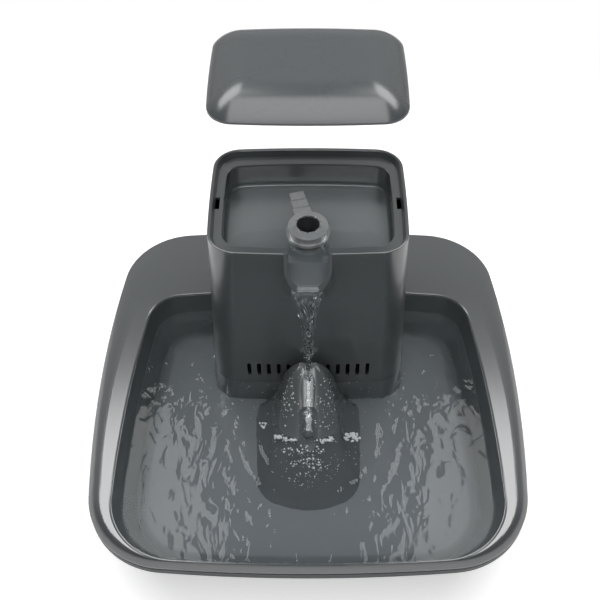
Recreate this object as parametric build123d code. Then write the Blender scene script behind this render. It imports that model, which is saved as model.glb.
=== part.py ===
"""Pet water fountain: a wide bowl, a filter tower with a spout, a splash ramp and a lid.

Millimetres. +X is to the right, +Y to the back, +Z up. The origin lies on the surface that the
fountain stands on, under the centre of the bowl.
"""

import os
from dataclasses import astuple, dataclass, replace
from math import cos, radians, sin, sqrt, tan

from build123d import *

# ---------------------------------------------------------------- bowl
BOWL_WIDTH = 385.0
BOWL_LENGTH = 378.5
LIP_CORNER_FRONT = 71.0
LIP_CORNER_BACK = 66.0
LIP_BOW_SIDE = 15.0
LIP_BOW_END = 9.5
LIP_EDGE = 2.0
RIM_HEIGHT = 92.0
RIM_DROP = 9.0
RIM_ROUNDNESS = 1.8
RIM_SLOPE_SIDE = 14.0
RIM_SLOPE_FRONT = 2.4
RIM_SLOPE_BACK = 96.5
CREASE_CORNER_FRONT = 64.0
CREASE_CORNER_BACK = 18.0
BOWL_WALL = 3.0
BASIN_FLOOR = 30.0
BASIN_RIM_FRONT = 3.5
BASIN_RIM_BACK = 89.0
BASIN_RIM_SIDE_FRONT = 23.0
BASIN_RIM_SIDE_BACK = 34.0
BASIN_CORNER_FRONT = 58.0
BASIN_CORNER_BACK = 33.0
BASIN_BOW_SIDE = 7.0
BASIN_BOW_FRONT = 8.0
BASIN_BOW_BACK = 9.0
BASIN_DRAFT = 13.0
BASIN_DRAFT_FRONT = 20.0
BASIN_FLOOR_FILLET = 10.0
BASIN_EDGE_ROUND = 1.4

# ---------------------------------------------------------------- lower shell and bottom cover
SHADOW_GROOVE = 1.5
SHELL_WALL = 2.8
SHELL_BAND = 6.0
SHELL_INSET = 35.0
SHELL_STRAIGHT_SHARE = 0.8
SHELL_CORNER_SHARE = 0.8
SHELL_TONGUE = 1.4
FLANGE_THICKNESS = 3.0
COVER_THICKNESS = 3.0
COVER_INSET = 24.0
COVER_OVERLAP = 10.0
COVER_CORNER = 40.0
COVER_CLEARANCE = 0.4
GASKET_MARGIN = 1.0
GASKET_WIDTH = 2.4
GASKET_DEPTH = 1.4
FOOT_HEIGHT = 3.0
FOOT_RADIUS = 11.0
FOOT_PLUG = 1.5
FOOT_PLUG_RADIUS = 7.0
FOOT_FROM_EDGE = 32.0

# ---------------------------------------------------------------- screws
SCREW_RADIUS = 1.5
SCREW_HEAD_RADIUS = 2.8
SCREW_HEAD_HEIGHT = 1.6
SCREW_HEAD_ROOM = 0.4
BOSS_RADIUS = 4.0
BOSS_HEIGHT = 7.0
SHELL_SCREW_DEPTH = 11.0
SHELL_SCREW_INSET = 15.0
SHELL_SCREW_SHARES = (-0.66, -0.1, 0.46)
COVER_SCREW_INSET = 4.5
COVER_SCREW_SHARES = (-0.67, 0.0, 0.67)

# ---------------------------------------------------------------- tower
TOWER_TOP = 246.5
TOWER_HALF = 83.25
TOWER_LENGTH = 129.0
TOWER_FROM_BACK = 54.5
TOWER_CORNER = 24.0
TOWER_BOW_SIDE = 1.5
TOWER_BOW_END = 3.0
TOWER_DRAFT_SIDE = 2.2
TOWER_DRAFT_FRONT = 0.65
TOWER_DRAFT_BACK = 1.2
TOWER_WALL = 2.4
TOWER_SEAT_GAP = 0.15
TOWER_SIDE_GAP = 1.0
LIP_ROUND = 0.8
LIP_DEPTH = 6.0
LIP_TAPER = 22.0
LEDGE_THICKNESS = 2.4
TRAY_RIM_SIDE = 11.65
TRAY_RIM_FRONT = 13.2
TRAY_RIM_BACK = 15.5
TRAY_MOUTH_ROUND = 0.9
TRAY_DEPTH = 28.5
TRAY_CORNER = 14.0
TRAY_FILLET = 4.0
TRAY_WALL = 2.4
TAB_SLOT_LENGTH = 14.0
TAB_SLOT_WIDTH = 4.4
GRILLE_SLOTS = 13
GRILLE_PITCH = 9.1
GRILLE_SLOT_WIDTH = 3.6
GRILLE_SLOT_HEIGHT = 17.5
GRILLE_BOTTOM = 82.0
GRILLE_SLOT_CORNER = 1.0
INTAKE_WIDTH = 34.0
INTAKE_HEIGHT = 12.0

# ---------------------------------------------------------------- spout
SPOUT_WIDTH = 39.0
SPOUT_REACH = 18.5
SPOUT_CORNER = 13.0
SPOUT_WALL = 2.8
SPOUT_TIP_DROP = 24.5
SPOUT_TIP_LIP = 5.0
SPOUT_FLOOR_FALL = 3.0
SPOUT_UNDER_DROP = 11.0

# ---------------------------------------------------------------- lid
LID_CLEARANCE = 0.3
LID_SEAT_GAP = 0.1
LID_CORNER = 21.0
LID_EDGE = 2.0
LID_CROWN = 17.0
LID_EDGE_SLOPE = 55.0
LID_CORNER_SHARE = 0.6
LID_SECTIONS = 6
LID_WALL = 2.2
LID_TAB_LENGTH = 9.0
LID_TAB_THICKNESS = 2.2
LID_TAB_DEPTH = 4.0
LID_LIFT = 108.0
LID_LIFT_TILT = 20.0

# ---------------------------------------------------------------- splash ramp
RAMP_HEIGHT = 83.0
RAMP_DOME_HALF = 30.0
RAMP_FLARE_HALF = 20.0
RAMP_DOME_LENGTH = 34.0
RAMP_FLARE_LENGTH = 82.0
RAMP_CROWN = 8.0
RAMP_DOME_POWER = 3
RAMP_FLARE_POWER = 4
RAMP_REACH_DOME_POWER = 4
RAMP_REACH_FLARE_POWER = 1.55
RAMP_BACK_POWER = 8
RAMP_FRONT_SHARE = 0.92
RAMP_CORNER_SHARE = 0.55
RAMP_CORNER_DEPTH_SHARE = 0.35
RAMP_BACK_CORNER_SHARE = 0.3
RAMP_BACK_CORNER_DEPTH_SHARE = 0.25
RAMP_NOSE_DEPTH_SHARE = 0.5
RAMP_SHARES = (0.0, 0.1, 0.22, 0.36, 0.5, 0.63, 0.75, 0.85, 0.92, 0.97)
RAMP_GROOVE_SHARES = (0.93, 0.72)
RAMP_POCKET_SHARES = (0.67, 0.48)
RAMP_TONGUE_SHARES = (0.65, 0.54)
RAMP_SHARE_STEP = 0.01
RAMP_NOSE_SHARE_FOOT = 0.3
RAMP_NOSE_SHARE_TOP = 0.5
RAMP_TOP_FILLET = 2.0
RAMP_POCKET_RADIUS = 18.0
RAMP_POCKET_DEPTH = 2.8
RAMP_TONGUE_RADIUS = 7.0
RAMP_TONGUE_RISE = 1.0
RAMP_GROOVE_RADIUS = 20.0
RAMP_GROOVE_DEPTH = 1.0
RAMP_TOWER_GAP = 0.4
RAMP_SEAT_GAP = 0.15
RAMP_WALL = 4.0
RAMP_WALL_CORNER_SHARE = 0.8

# ---------------------------------------------------------------- drive and pump
PUMP_FROM_FRONT = 43.5
MOTOR_RADIUS = 19.0
MOTOR_HEIGHT = 10.0
MOTOR_EAR_RADIUS = 29.0
BRACKET_THICKNESS = 1.5
BRACKET_LIP = 3.0
MAGNET_GAP = 0.8
MAGNET_RADIUS = 15.0
MAGNET_THICKNESS = 3.0
CARRIER_THICKNESS = 1.2
SHAFT_RADIUS = 1.5
SHAFT_CLEARANCE = 0.3
PIN_RADIUS = 1.25
PIN_SOCKET = 1.6
PIN_BOSS_RADIUS = 4.0
PIN_BOSS_HEIGHT = 2.0
IMPELLER_RADIUS = 15.5
IMPELLER_GAP = 0.4
IMPELLER_BASE = 5.0
IMPELLER_BLADE_HEIGHT = 6.0
IMPELLER_BLADES = 6
IMPELLER_BLADE_THICKNESS = 1.4
IMPELLER_HUB = 4.0
IMPELLER_TIP_MARGIN = 1.0
IMPELLER_SWEEP = 34.0
IMPELLER_BELLY_SHARE = 0.18
PIN_STANDOUT = 1.0
PUMP_COVER_CLEARANCE = 2.5
PUMP_COVER_WALL = 2.0
PUMP_COVER_FOOT_GAP = 1.0
PUMP_WINDOW_HEIGHT = 6.0
PUMP_WINDOWS = 8
RISER_RADIUS = 11.5
RISER_BORE = 9.8
RISER_COLLAR = 3.0
RISER_COLLAR_HEIGHT = 5.0

# ---------------------------------------------------------------- nozzle ring
NOZZLE_RADIUS = 17.0
NOZZLE_TOP = 237.0
NOZZLE_RING_HEIGHT = 8.0
NOZZLE_CONE = 2.0
NOZZLE_FLANGE_RADIUS = 18.6
NOZZLE_FLANGE_HEIGHT = 2.6
NOZZLE_CLEARANCE = 0.3
NOZZLE_SEAL_HEIGHT = 2.4
LEVER_ANGLE = 105.5
LEVER_REACH = 39.0
LEVER_WIDTH = 15.5
LEVER_TIP_WIDTH = 12.0
LEVER_STEPS = 3
LEVER_STEP_RISE = 1.6
LEVER_ROOT = 3.0
LEVER_DROP = 4.0
NOTCHES = 10
NOTCH_WIDTH = 1.2
NOTCH_DEPTH = 0.9
NOTCH_LENGTH = 4.0

# ---------------------------------------------------------------- filter
FILTER_HALF = 56.0
FILTER_DEPTH = 46.0
FILTER_HEIGHT = 84.0
FILTER_WALL = 2.0
FILTER_GAP = 0.6
FILTER_SEAT_GAP = 0.3
FOAM_SHARE = 0.4

# ---------------------------------------------------------------- power inlet and board
SOCKET_HEIGHT = 16.0
SOCKET_RADIUS = 5.5
SOCKET_BORE = 3.2
SOCKET_PIN = 1.05
SOCKET_PIN_SETBACK = 1.0
SOCKET_FLANGE_RADIUS = 7.5
SOCKET_FLANGE = 1.8
SOCKET_LENGTH = 13.0
SOCKET_NUT_THICKNESS = 2.4
SOCKET_RECESS_WIDTH = 26.0
SOCKET_RECESS_HEIGHT = 16.0
SOCKET_RECESS_MARGIN = 1.0
BOARD_WIDTH = 64.0
BOARD_DEPTH = 30.0
BOARD_THICKNESS = 1.6
BOARD_STANDOFF = 4.0
BOARD_FROM_MOTOR = 24.0
BOARD_HOLE_INSET = 4.0
CONNECTOR_WIDTH = 12.0
CONNECTOR_DEPTH = 6.0
CONNECTOR_HEIGHT = 6.0
CAPACITOR_RADIUS = 4.0
CAPACITOR_HEIGHT = 8.0
COIL_SIDE = 10.0
COIL_HEIGHT = 4.0
CHIP_HEIGHT = 1.4
PART_FROM_MIDDLE = 17.0
LEAD_RADIUS = 1.2
LEAD_PITCH = 3.0

OVERSHOOT = 1.0
MIN_CORNER = 2.0


# ---------------------------------------------------------------- outlines
@dataclass(frozen=True)
class Outline:
    """A four-sided plan with outward-bowed sides and rounded corners."""

    half_front: float
    half_back: float
    front: float
    back: float
    corner_front: float
    corner_back: float
    bow_side: float = 0.0
    bow_front: float = 0.0
    bow_back: float = 0.0

    def inset(self, distance, corner_share=1.0):
        """The same plan moved inwards on every side."""
        return replace(
            self,
            half_front=self.half_front - distance,
            half_back=self.half_back - distance,
            front=self.front + distance,
            back=self.back - distance,
            corner_front=max(self.corner_front - corner_share * distance, MIN_CORNER),
            corner_back=max(self.corner_back - corner_share * distance, MIN_CORNER),
        )

    def towards(self, other, share):
        """A plan part of the way from this one to another."""
        return Outline(*(a + (b - a) * share for a, b in zip(astuple(self), astuple(other))))

    def side_at(self, y):
        """Half the plan's width at y, on its bowed side."""
        middle = (self.front + self.back) / 2
        reach = (self.back - self.bow_back - self.front - self.bow_front) / 2
        lean = (self.half_back - self.half_front) / 2 * (y - middle) / reach
        bulge = self.bow_side * ((y - middle) / reach) ** 2
        return (self.half_front + self.half_back) / 2 + lean - bulge

    def face(self, z):
        """The plan as a horizontal face at height z."""
        x_front = self.half_front - self.bow_side
        x_back = self.half_back - self.bow_side
        y_front = self.front + self.bow_front
        y_back = self.back - self.bow_back
        x_middle = (x_front + x_back) / 2 + self.bow_side
        y_middle = (y_front + y_back) / 2
        sides = Curve() + [
            bowed_side((-x_front, y_front), (0, self.front), (x_front, y_front), self.bow_front),
            bowed_side((x_front, y_front), (x_middle, y_middle), (x_back, y_back), self.bow_side),
            bowed_side((x_back, y_back), (0, self.back), (-x_back, y_back), self.bow_back),
            bowed_side((-x_back, y_back), (-x_middle, y_middle), (-x_front, y_front), self.bow_side),
        ]
        plan = make_face(sides)
        plan = fillet(plan.vertices().group_by(Axis.Y)[0], self.corner_front)
        plan = fillet(plan.vertices().group_by(Axis.Y)[-1], self.corner_back)
        return Pos(0, 0, z) * plan


def bowed_side(start, middle, end, bow):
    """An arc over three points, or a straight line where the side has no bow."""
    if bow < 0.01:
        return Line(start, end)
    return ThreePointArc(start, middle, end)


def column(x, y, radius, bottom, top):
    """An upright cylinder between two levels."""
    return Pos(x, y, bottom) * extrude(Circle(radius), top - bottom)


def block(x_range, y_range, z_range):
    """A box between two values on each axis."""
    ranges = (x_range, y_range, z_range)
    middle = [(low + high) / 2 for low, high in ranges]
    return Pos(*middle) * Box(*[high - low for low, high in ranges])


def turned(points, y=0.0):
    """A ring or disc turned from (radius, height) points about an upright axis at x = 0."""
    section = make_face(Polyline(*[(r, 0, z) for r, z in points], close=True))
    return Pos(0, y, 0) * revolve(section, Axis.Z)


def side_profile(points, half_width):
    """A solid of constant section across the fountain, from (y, z) points."""
    section = make_face(Polyline(*[(-half_width, y, z) for y, z in points], close=True))
    return extrude(section, 2 * half_width, dir=(1, 0, 0))


# ---------------------------------------------------------------- levels and shared places
TOWER_BACK = BOWL_LENGTH / 2 - TOWER_FROM_BACK
TOWER_FRONT = TOWER_BACK - TOWER_LENGTH
PUMP_Y = TOWER_FRONT + PUMP_FROM_FRONT
LIP_TOP = RIM_HEIGHT - RIM_DROP
LIP_BOTTOM = LIP_TOP - LIP_EDGE
FLOOR_UNDERSIDE = BASIN_FLOOR - BOWL_WALL
SHELL_TOP = LIP_BOTTOM - SHADOW_GROOVE
BAND_BOTTOM = SHELL_TOP - SHELL_BAND
COVER_TOP = FOOT_HEIGHT + COVER_THICKNESS
STEP_TOP = COVER_TOP + FLANGE_THICKNESS
TOWER_BASE = BASIN_FLOOR + TOWER_SEAT_GAP
LEDGE = TOWER_TOP - LIP_DEPTH
LEDGE_UNDERSIDE = LEDGE - LEDGE_THICKNESS
TRAY_FLOOR = LEDGE - TRAY_DEPTH
LIP_FLARE = LIP_DEPTH * tan(radians(LIP_TAPER))
RIM_SHARES = (0.0, 0.35, 0.7, 1.0)


def rim_level(share):
    """Height of the rim's skin at a share of the way from its crease to the outer lip."""
    return RIM_HEIGHT - RIM_DROP * share**RIM_ROUNDNESS


LIP_PLAN = Outline(
    half_front=BOWL_WIDTH / 2,
    half_back=BOWL_WIDTH / 2,
    front=-BOWL_LENGTH / 2,
    back=BOWL_LENGTH / 2,
    corner_front=LIP_CORNER_FRONT,
    corner_back=LIP_CORNER_BACK,
    bow_side=LIP_BOW_SIDE,
    bow_front=LIP_BOW_END,
    bow_back=LIP_BOW_END,
)
CREASE_PLAN = Outline(
    half_front=LIP_PLAN.half_front - RIM_SLOPE_SIDE,
    half_back=LIP_PLAN.half_back - RIM_SLOPE_SIDE,
    front=LIP_PLAN.front + RIM_SLOPE_FRONT,
    back=LIP_PLAN.back - RIM_SLOPE_BACK,
    corner_front=CREASE_CORNER_FRONT,
    corner_back=CREASE_CORNER_BACK,
    bow_side=LIP_BOW_SIDE,
    bow_front=LIP_BOW_END,
)
BASIN_PLAN = Outline(
    half_front=LIP_PLAN.half_front - BASIN_RIM_SIDE_FRONT,
    half_back=LIP_PLAN.half_back - BASIN_RIM_SIDE_BACK,
    front=LIP_PLAN.front + BASIN_RIM_FRONT,
    back=LIP_PLAN.back - BASIN_RIM_BACK,
    corner_front=BASIN_CORNER_FRONT,
    corner_back=BASIN_CORNER_BACK,
    bow_side=BASIN_BOW_SIDE,
    bow_front=BASIN_BOW_FRONT,
    bow_back=BASIN_BOW_BACK,
)
TRAY_PLAN = Outline(
    half_front=TOWER_HALF - TRAY_RIM_SIDE,
    half_back=TOWER_HALF - TRAY_RIM_SIDE,
    front=TOWER_FRONT + TRAY_RIM_FRONT,
    back=TOWER_BACK - TRAY_RIM_BACK,
    corner_front=TRAY_CORNER,
    corner_back=TRAY_CORNER,
    bow_side=TOWER_BOW_SIDE,
    bow_front=TOWER_BOW_END,
    bow_back=TOWER_BOW_END,
)


def tower_plan(z):
    """The tower's outer plan at height z: the walls lean inwards towards the top."""
    drop = TOWER_TOP - z
    half = TOWER_HALF + drop * tan(radians(TOWER_DRAFT_SIDE))
    return Outline(
        half_front=half,
        half_back=half,
        front=TOWER_FRONT - drop * tan(radians(TOWER_DRAFT_FRONT)),
        back=TOWER_BACK + drop * tan(radians(TOWER_DRAFT_BACK)),
        corner_front=TOWER_CORNER,
        corner_back=TOWER_CORNER,
        bow_side=TOWER_BOW_SIDE,
        bow_front=TOWER_BOW_END,
        bow_back=TOWER_BOW_END,
    )


def shell_plan(z):
    """The lower shell's outer plan at height z: it draws in faster the lower it gets."""
    share = (BAND_BOTTOM - z) / (BAND_BOTTOM - FOOT_HEIGHT)
    draw = SHELL_STRAIGHT_SHARE * share + (1 - SHELL_STRAIGHT_SHARE) * share**3
    return LIP_PLAN.inset(SHELL_INSET * draw, SHELL_CORNER_SHARE)


def rows_inside(plan, inset, shares):
    """A row of places inside each side of a plan, at shares of its half length."""
    rows = [(plan.side_at(share * plan.back) - inset, share * plan.back) for share in shares]
    return [(side * x, y) for side in (-1, 1) for x, y in rows]


FOOTPRINT = shell_plan(FOOT_HEIGHT)
COVER_PLAN = replace(
    FOOTPRINT.inset(COVER_INSET),
    corner_front=COVER_CORNER,
    corner_back=COVER_CORNER,
)
WINDOW_PLAN = COVER_PLAN.inset(COVER_OVERLAP)
GASKET_PLAN = COVER_PLAN.inset(COVER_OVERLAP - GASKET_MARGIN - GASKET_WIDTH)
FOOT_PLACES = [
    (side * (FOOTPRINT.half_front - FOOT_FROM_EDGE), end * (FOOTPRINT.back - FOOT_FROM_EDGE))
    for side in (-1, 1)
    for end in (-1, 1)
]
SHELL_SCREW_PLACES = rows_inside(FOOTPRINT, SHELL_SCREW_INSET, SHELL_SCREW_SHARES)
COVER_SCREW_PLACES = rows_inside(COVER_PLAN, COVER_SCREW_INSET, COVER_SCREW_SHARES)
HEAD_HOLE_RADIUS = SCREW_HEAD_RADIUS + SCREW_HEAD_ROOM
MAGNET_TOP = FLOOR_UNDERSIDE - MAGNET_GAP
MAGNET_BOTTOM = MAGNET_TOP - MAGNET_THICKNESS
CARRIER_BOTTOM = MAGNET_BOTTOM - CARRIER_THICKNESS
MOTOR_TOP = CARRIER_BOTTOM - MAGNET_GAP
MOTOR_BOTTOM = MOTOR_TOP - MOTOR_HEIGHT
BRACKET_BOTTOM = MOTOR_BOTTOM - BRACKET_THICKNESS
MOTOR_EAR_ANGLES = (-90, 30, 150)
MOTOR_EAR_PLACES = [
    (MOTOR_EAR_RADIUS * cos(radians(a)), PUMP_Y + MOTOR_EAR_RADIUS * sin(radians(a)))
    for a in MOTOR_EAR_ANGLES
]
PIN_BOSS_TOP = BASIN_FLOOR + PIN_BOSS_HEIGHT
IMPELLER_BOTTOM = PIN_BOSS_TOP + IMPELLER_GAP
IMPELLER_TOP = IMPELLER_BOTTOM + IMPELLER_BASE + IMPELLER_BLADE_HEIGHT
SOCKET_PLANE = (
    shell_plan(SOCKET_HEIGHT - SOCKET_RECESS_HEIGHT / 2).back - SOCKET_RECESS_MARGIN
)
BOARD_BOTTOM = COVER_TOP + BOARD_STANDOFF
BOARD_TOP = BOARD_BOTTOM + BOARD_THICKNESS
BOARD_FRONT = PUMP_Y + BOARD_FROM_MOTOR
BOARD_SCREW_PLACES = [
    (side * (BOARD_WIDTH / 2 - BOARD_HOLE_INSET), y)
    for side in (-1, 1)
    for y in (BOARD_FRONT + BOARD_HOLE_INSET, BOARD_FRONT + BOARD_DEPTH - BOARD_HOLE_INSET)
]


def screws_up(places, head_bottom, length):
    """Pan-head screws driven upwards, as one group of separate solids."""
    head_top = head_bottom + SCREW_HEAD_HEIGHT
    return [
        column(x, y, SCREW_HEAD_RADIUS, head_bottom, head_top)
        + column(x, y, SCREW_RADIUS, head_top, head_top + length)
        for x, y in places
    ]


# ---------------------------------------------------------------- bowl
def rim_form(inset, drop):
    """The form under the rim's skin, drawn in and lowered by a wall, with an upright lip below."""
    sections = [
        CREASE_PLAN.towards(LIP_PLAN, share).inset(inset).face(rim_level(share) - drop)
        for share in RIM_SHARES
    ]
    edge = extrude(LIP_PLAN.inset(inset).face(LIP_TOP - drop), -LIP_EDGE)
    return loft(sections) + edge


def basin_form(grow, bottom, top):
    """The basin's drafted form between two levels, grown outwards by a wall."""
    sections = []
    for z in (bottom, top):
        depth = RIM_HEIGHT - z
        plan = BASIN_PLAN.inset(depth * tan(radians(BASIN_DRAFT)) - grow, 0.5)
        front = BASIN_PLAN.front + depth * tan(radians(BASIN_DRAFT_FRONT)) - grow
        sections.append(replace(plan, front=front).face(z))
    return loft(sections, ruled=True)


def rounded_mouth(plan, level, radius):
    """The space that a rounded-over upper edge leaves above an opening."""
    sections = []
    for angle in (0, 45, 90):
        out = radius * (1 - cos(radians(angle)))
        down = radius * (1 - sin(radians(angle)))
        sections.append(plan.inset(-out).face(level - down))
    return loft(sections, ruled=True)


def bowl():
    """The bowl: basin, rim and the recess that the tower stands in, in one moulding."""
    alcove = tower_plan(TOWER_BASE).inset(-TOWER_SIDE_GAP)
    alcove_back = alcove.back + BOWL_WALL
    back_share = (alcove_back - CREASE_PLAN.back) / RIM_SLOPE_BACK
    alcove_top = rim_level(back_share) - BOWL_WALL / 2
    body = rim_form(0, 0) - rim_form(BOWL_WALL, BOWL_WALL)
    body += basin_form(BOWL_WALL, FLOOR_UNDERSIDE, RIM_HEIGHT - BOWL_WALL)
    body += extrude(alcove.inset(-BOWL_WALL).face(FLOOR_UNDERSIDE), alcove_top - FLOOR_UNDERSIDE)
    basin = basin_form(0, BASIN_FLOOR, RIM_HEIGHT + OVERSHOOT)
    body -= fillet(basin.edges().group_by(Axis.Z)[0], BASIN_FLOOR_FILLET)
    body -= rounded_mouth(BASIN_PLAN, RIM_HEIGHT, BASIN_EDGE_ROUND)
    body -= extrude(alcove.face(BASIN_FLOOR), RIM_HEIGHT)
    for x, y in SHELL_SCREW_PLACES:
        body += column(x, y, BOSS_RADIUS, COVER_TOP, FLOOR_UNDERSIDE)
        body -= column(x, y, SCREW_RADIUS, COVER_TOP, COVER_TOP + SHELL_SCREW_DEPTH)
    for x, y in MOTOR_EAR_PLACES:
        body += column(x, y, BOSS_RADIUS, MOTOR_BOTTOM, FLOOR_UNDERSIDE)
        body -= column(x, y, SCREW_RADIUS, MOTOR_BOTTOM, MOTOR_BOTTOM + BOSS_HEIGHT)
    body += column(0, PUMP_Y, PIN_BOSS_RADIUS, BASIN_FLOOR, PIN_BOSS_TOP)
    body -= column(0, PUMP_Y, PIN_RADIUS, PIN_BOSS_TOP - PIN_SOCKET, PIN_BOSS_TOP)
    return body


# ---------------------------------------------------------------- lower shell
def shell_form(inset, bottom):
    """The lower shell's form drawn in by a wall, from a level up to its top edge."""
    levels = [bottom + (BAND_BOTTOM - bottom) * k / 3 for k in range(4)]
    sections = [shell_plan(z).inset(inset, SHELL_CORNER_SHARE).face(z) for z in levels]
    band = extrude(LIP_PLAN.inset(inset, SHELL_CORNER_SHARE).face(BAND_BOTTOM), SHELL_BAND)
    return loft(sections) + band


def ring_between(outer, inner, bottom, top):
    """An upright ring between two plans and two levels."""
    return extrude(outer.face(bottom), top - bottom) - extrude(inner.face(bottom), top - bottom)


def base_shell():
    """The lower shell: drawn-in wall, tongue under the bowl's lip, floor ring and inlet recess."""
    outer = shell_form(0, FOOT_HEIGHT)
    body = outer - shell_form(SHELL_WALL, COVER_TOP)
    body -= extrude(WINDOW_PLAN.face(FOOT_HEIGHT), FLANGE_THICKNESS)
    body += ring_between(COVER_PLAN.inset(-FLANGE_THICKNESS), WINDOW_PLAN, COVER_TOP, STEP_TOP)
    body -= extrude(COVER_PLAN.face(FOOT_HEIGHT), COVER_THICKNESS)
    tongue = LIP_PLAN.inset(SHELL_TONGUE, SHELL_CORNER_SHARE)
    tongue_inner = LIP_PLAN.inset(SHELL_WALL, SHELL_CORNER_SHARE)
    body += ring_between(tongue, tongue_inner, SHELL_TOP - OVERSHOOT, LIP_BOTTOM)
    body -= cover_gasket()
    half = SOCKET_RECESS_WIDTH / 2
    low = SOCKET_HEIGHT - SOCKET_RECESS_HEIGHT / 2
    high = SOCKET_HEIGHT + SOCKET_RECESS_HEIGHT / 2
    reach = LIP_PLAN.back
    pad = block(
        (-half - SHELL_WALL, half + SHELL_WALL),
        (SOCKET_PLANE - SHELL_WALL, reach),
        (low - SHELL_WALL, high + SHELL_WALL),
    )
    body += pad & outer
    body -= block((-half, half), (SOCKET_PLANE, reach), (low, high))
    body -= along_back(0, SOCKET_HEIGHT, SOCKET_RADIUS, SOCKET_PLANE - 2 * SHELL_WALL, reach)
    for x, y in COVER_SCREW_PLACES:
        body += column(x, y, BOSS_RADIUS, STEP_TOP, STEP_TOP + BOSS_HEIGHT)
        body -= column(x, y, SCREW_RADIUS, COVER_TOP, STEP_TOP + BOSS_HEIGHT)
    head_room = SCREW_HEAD_HEIGHT + SCREW_HEAD_ROOM
    for x, y in SHELL_SCREW_PLACES:
        body -= column(x, y, HEAD_HOLE_RADIUS, FOOT_HEIGHT, FOOT_HEIGHT + head_room)
        body -= column(x, y, SCREW_RADIUS, FOOT_HEIGHT, COVER_TOP)
    for x, y in FOOT_PLACES:
        body -= column(x, y, FOOT_PLUG_RADIUS, FOOT_HEIGHT, FOOT_HEIGHT + FOOT_PLUG)
    return body


def bottom_cover():
    """The plate that closes the dry room, with posts for the board."""
    body = extrude(COVER_PLAN.inset(COVER_CLEARANCE).face(FOOT_HEIGHT), COVER_THICKNESS)
    head_room = SCREW_HEAD_HEIGHT + SCREW_HEAD_ROOM
    for x, y in COVER_SCREW_PLACES:
        body -= column(x, y, SCREW_RADIUS, FOOT_HEIGHT, COVER_TOP)
        body -= column(x, y, HEAD_HOLE_RADIUS, FOOT_HEIGHT, FOOT_HEIGHT + head_room)
    for x, y in BOARD_SCREW_PLACES:
        body += column(x, y, 2 * SCREW_RADIUS, COVER_TOP, BOARD_BOTTOM)
        body -= column(x, y, SCREW_RADIUS, COVER_TOP, BOARD_BOTTOM)
    return body


def cover_gasket():
    """The seal in the groove round the cover's window."""
    inner = GASKET_PLAN.inset(GASKET_WIDTH)
    return ring_between(GASKET_PLAN, inner, COVER_TOP, COVER_TOP + GASKET_DEPTH)


def rubber_feet():
    """Four feet, each with a plug in the lower shell."""
    return [
        column(x, y, FOOT_RADIUS, 0, FOOT_HEIGHT)
        + column(x, y, FOOT_PLUG_RADIUS, FOOT_HEIGHT, FOOT_HEIGHT + FOOT_PLUG)
        for x, y in FOOT_PLACES
    ]


def cover_screws():
    """Screws that hold the cover to the lower shell."""
    return screws_up(COVER_SCREW_PLACES, FOOT_HEIGHT + SCREW_HEAD_ROOM, BOSS_HEIGHT)


def shell_screws():
    """Screws that hold the lower shell to the bowl's bosses."""
    return screws_up(SHELL_SCREW_PLACES, FOOT_HEIGHT + SCREW_HEAD_ROOM, SHELL_SCREW_DEPTH)


# ---------------------------------------------------------------- drive
def motor_can():
    """The sealed motor, with a blind bore for its shaft."""
    body = column(0, PUMP_Y, MOTOR_RADIUS, MOTOR_BOTTOM, MOTOR_TOP)
    bore = SHAFT_RADIUS + SHAFT_CLEARANCE
    return body - column(0, PUMP_Y, bore, MOTOR_BOTTOM + SHAFT_RADIUS, MOTOR_TOP)


def motor_bracket():
    """The three-eared plate that hangs the motor from the bowl's bosses."""
    body = column(0, PUMP_Y, MOTOR_RADIUS + BRACKET_LIP, BRACKET_BOTTOM, MOTOR_BOTTOM)
    arm = extrude(SlotCenterToCenter(MOTOR_EAR_RADIUS, 2 * BOSS_RADIUS), BRACKET_THICKNESS)
    for angle in MOTOR_EAR_ANGLES:
        place = Pos(0, PUMP_Y, BRACKET_BOTTOM) * Rot(0, 0, angle) * Pos(MOTOR_EAR_RADIUS / 2, 0, 0)
        body += place * arm
    for x, y in MOTOR_EAR_PLACES:
        body -= column(x, y, SCREW_RADIUS, BRACKET_BOTTOM, MOTOR_BOTTOM)
    return body - column(0, PUMP_Y, MOTOR_RADIUS / 2, BRACKET_BOTTOM, MOTOR_BOTTOM)


def motor_screws():
    """Screws that hold the bracket to the bowl's bosses."""
    length = BRACKET_THICKNESS + BOSS_HEIGHT - SHAFT_CLEARANCE
    return screws_up(MOTOR_EAR_PLACES, BRACKET_BOTTOM - SCREW_HEAD_HEIGHT, length)


def rotor_shaft():
    """The motor's shaft, up into the magnet carrier."""
    return column(0, PUMP_Y, SHAFT_RADIUS, MOTOR_BOTTOM + SHAFT_RADIUS + SHAFT_CLEARANCE, MAGNET_BOTTOM)


def magnet_carrier():
    """The disc on the shaft that carries the drive magnet."""
    body = column(0, PUMP_Y, MAGNET_RADIUS, CARRIER_BOTTOM, MAGNET_BOTTOM)
    return body - column(0, PUMP_Y, SHAFT_RADIUS, CARRIER_BOTTOM, MAGNET_BOTTOM)


def drive_magnet():
    """The ring magnet under the bowl's floor."""
    body = column(0, PUMP_Y, MAGNET_RADIUS, MAGNET_BOTTOM, MAGNET_TOP)
    return body - column(0, PUMP_Y, MAGNET_RADIUS / 3, MAGNET_BOTTOM, MAGNET_TOP)


# ---------------------------------------------------------------- pump
def impeller_pin():
    """The fixed pin that the impeller runs on."""
    return column(0, PUMP_Y, PIN_RADIUS, PIN_BOSS_TOP - PIN_SOCKET, IMPELLER_TOP + PIN_STANDOUT)


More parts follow.
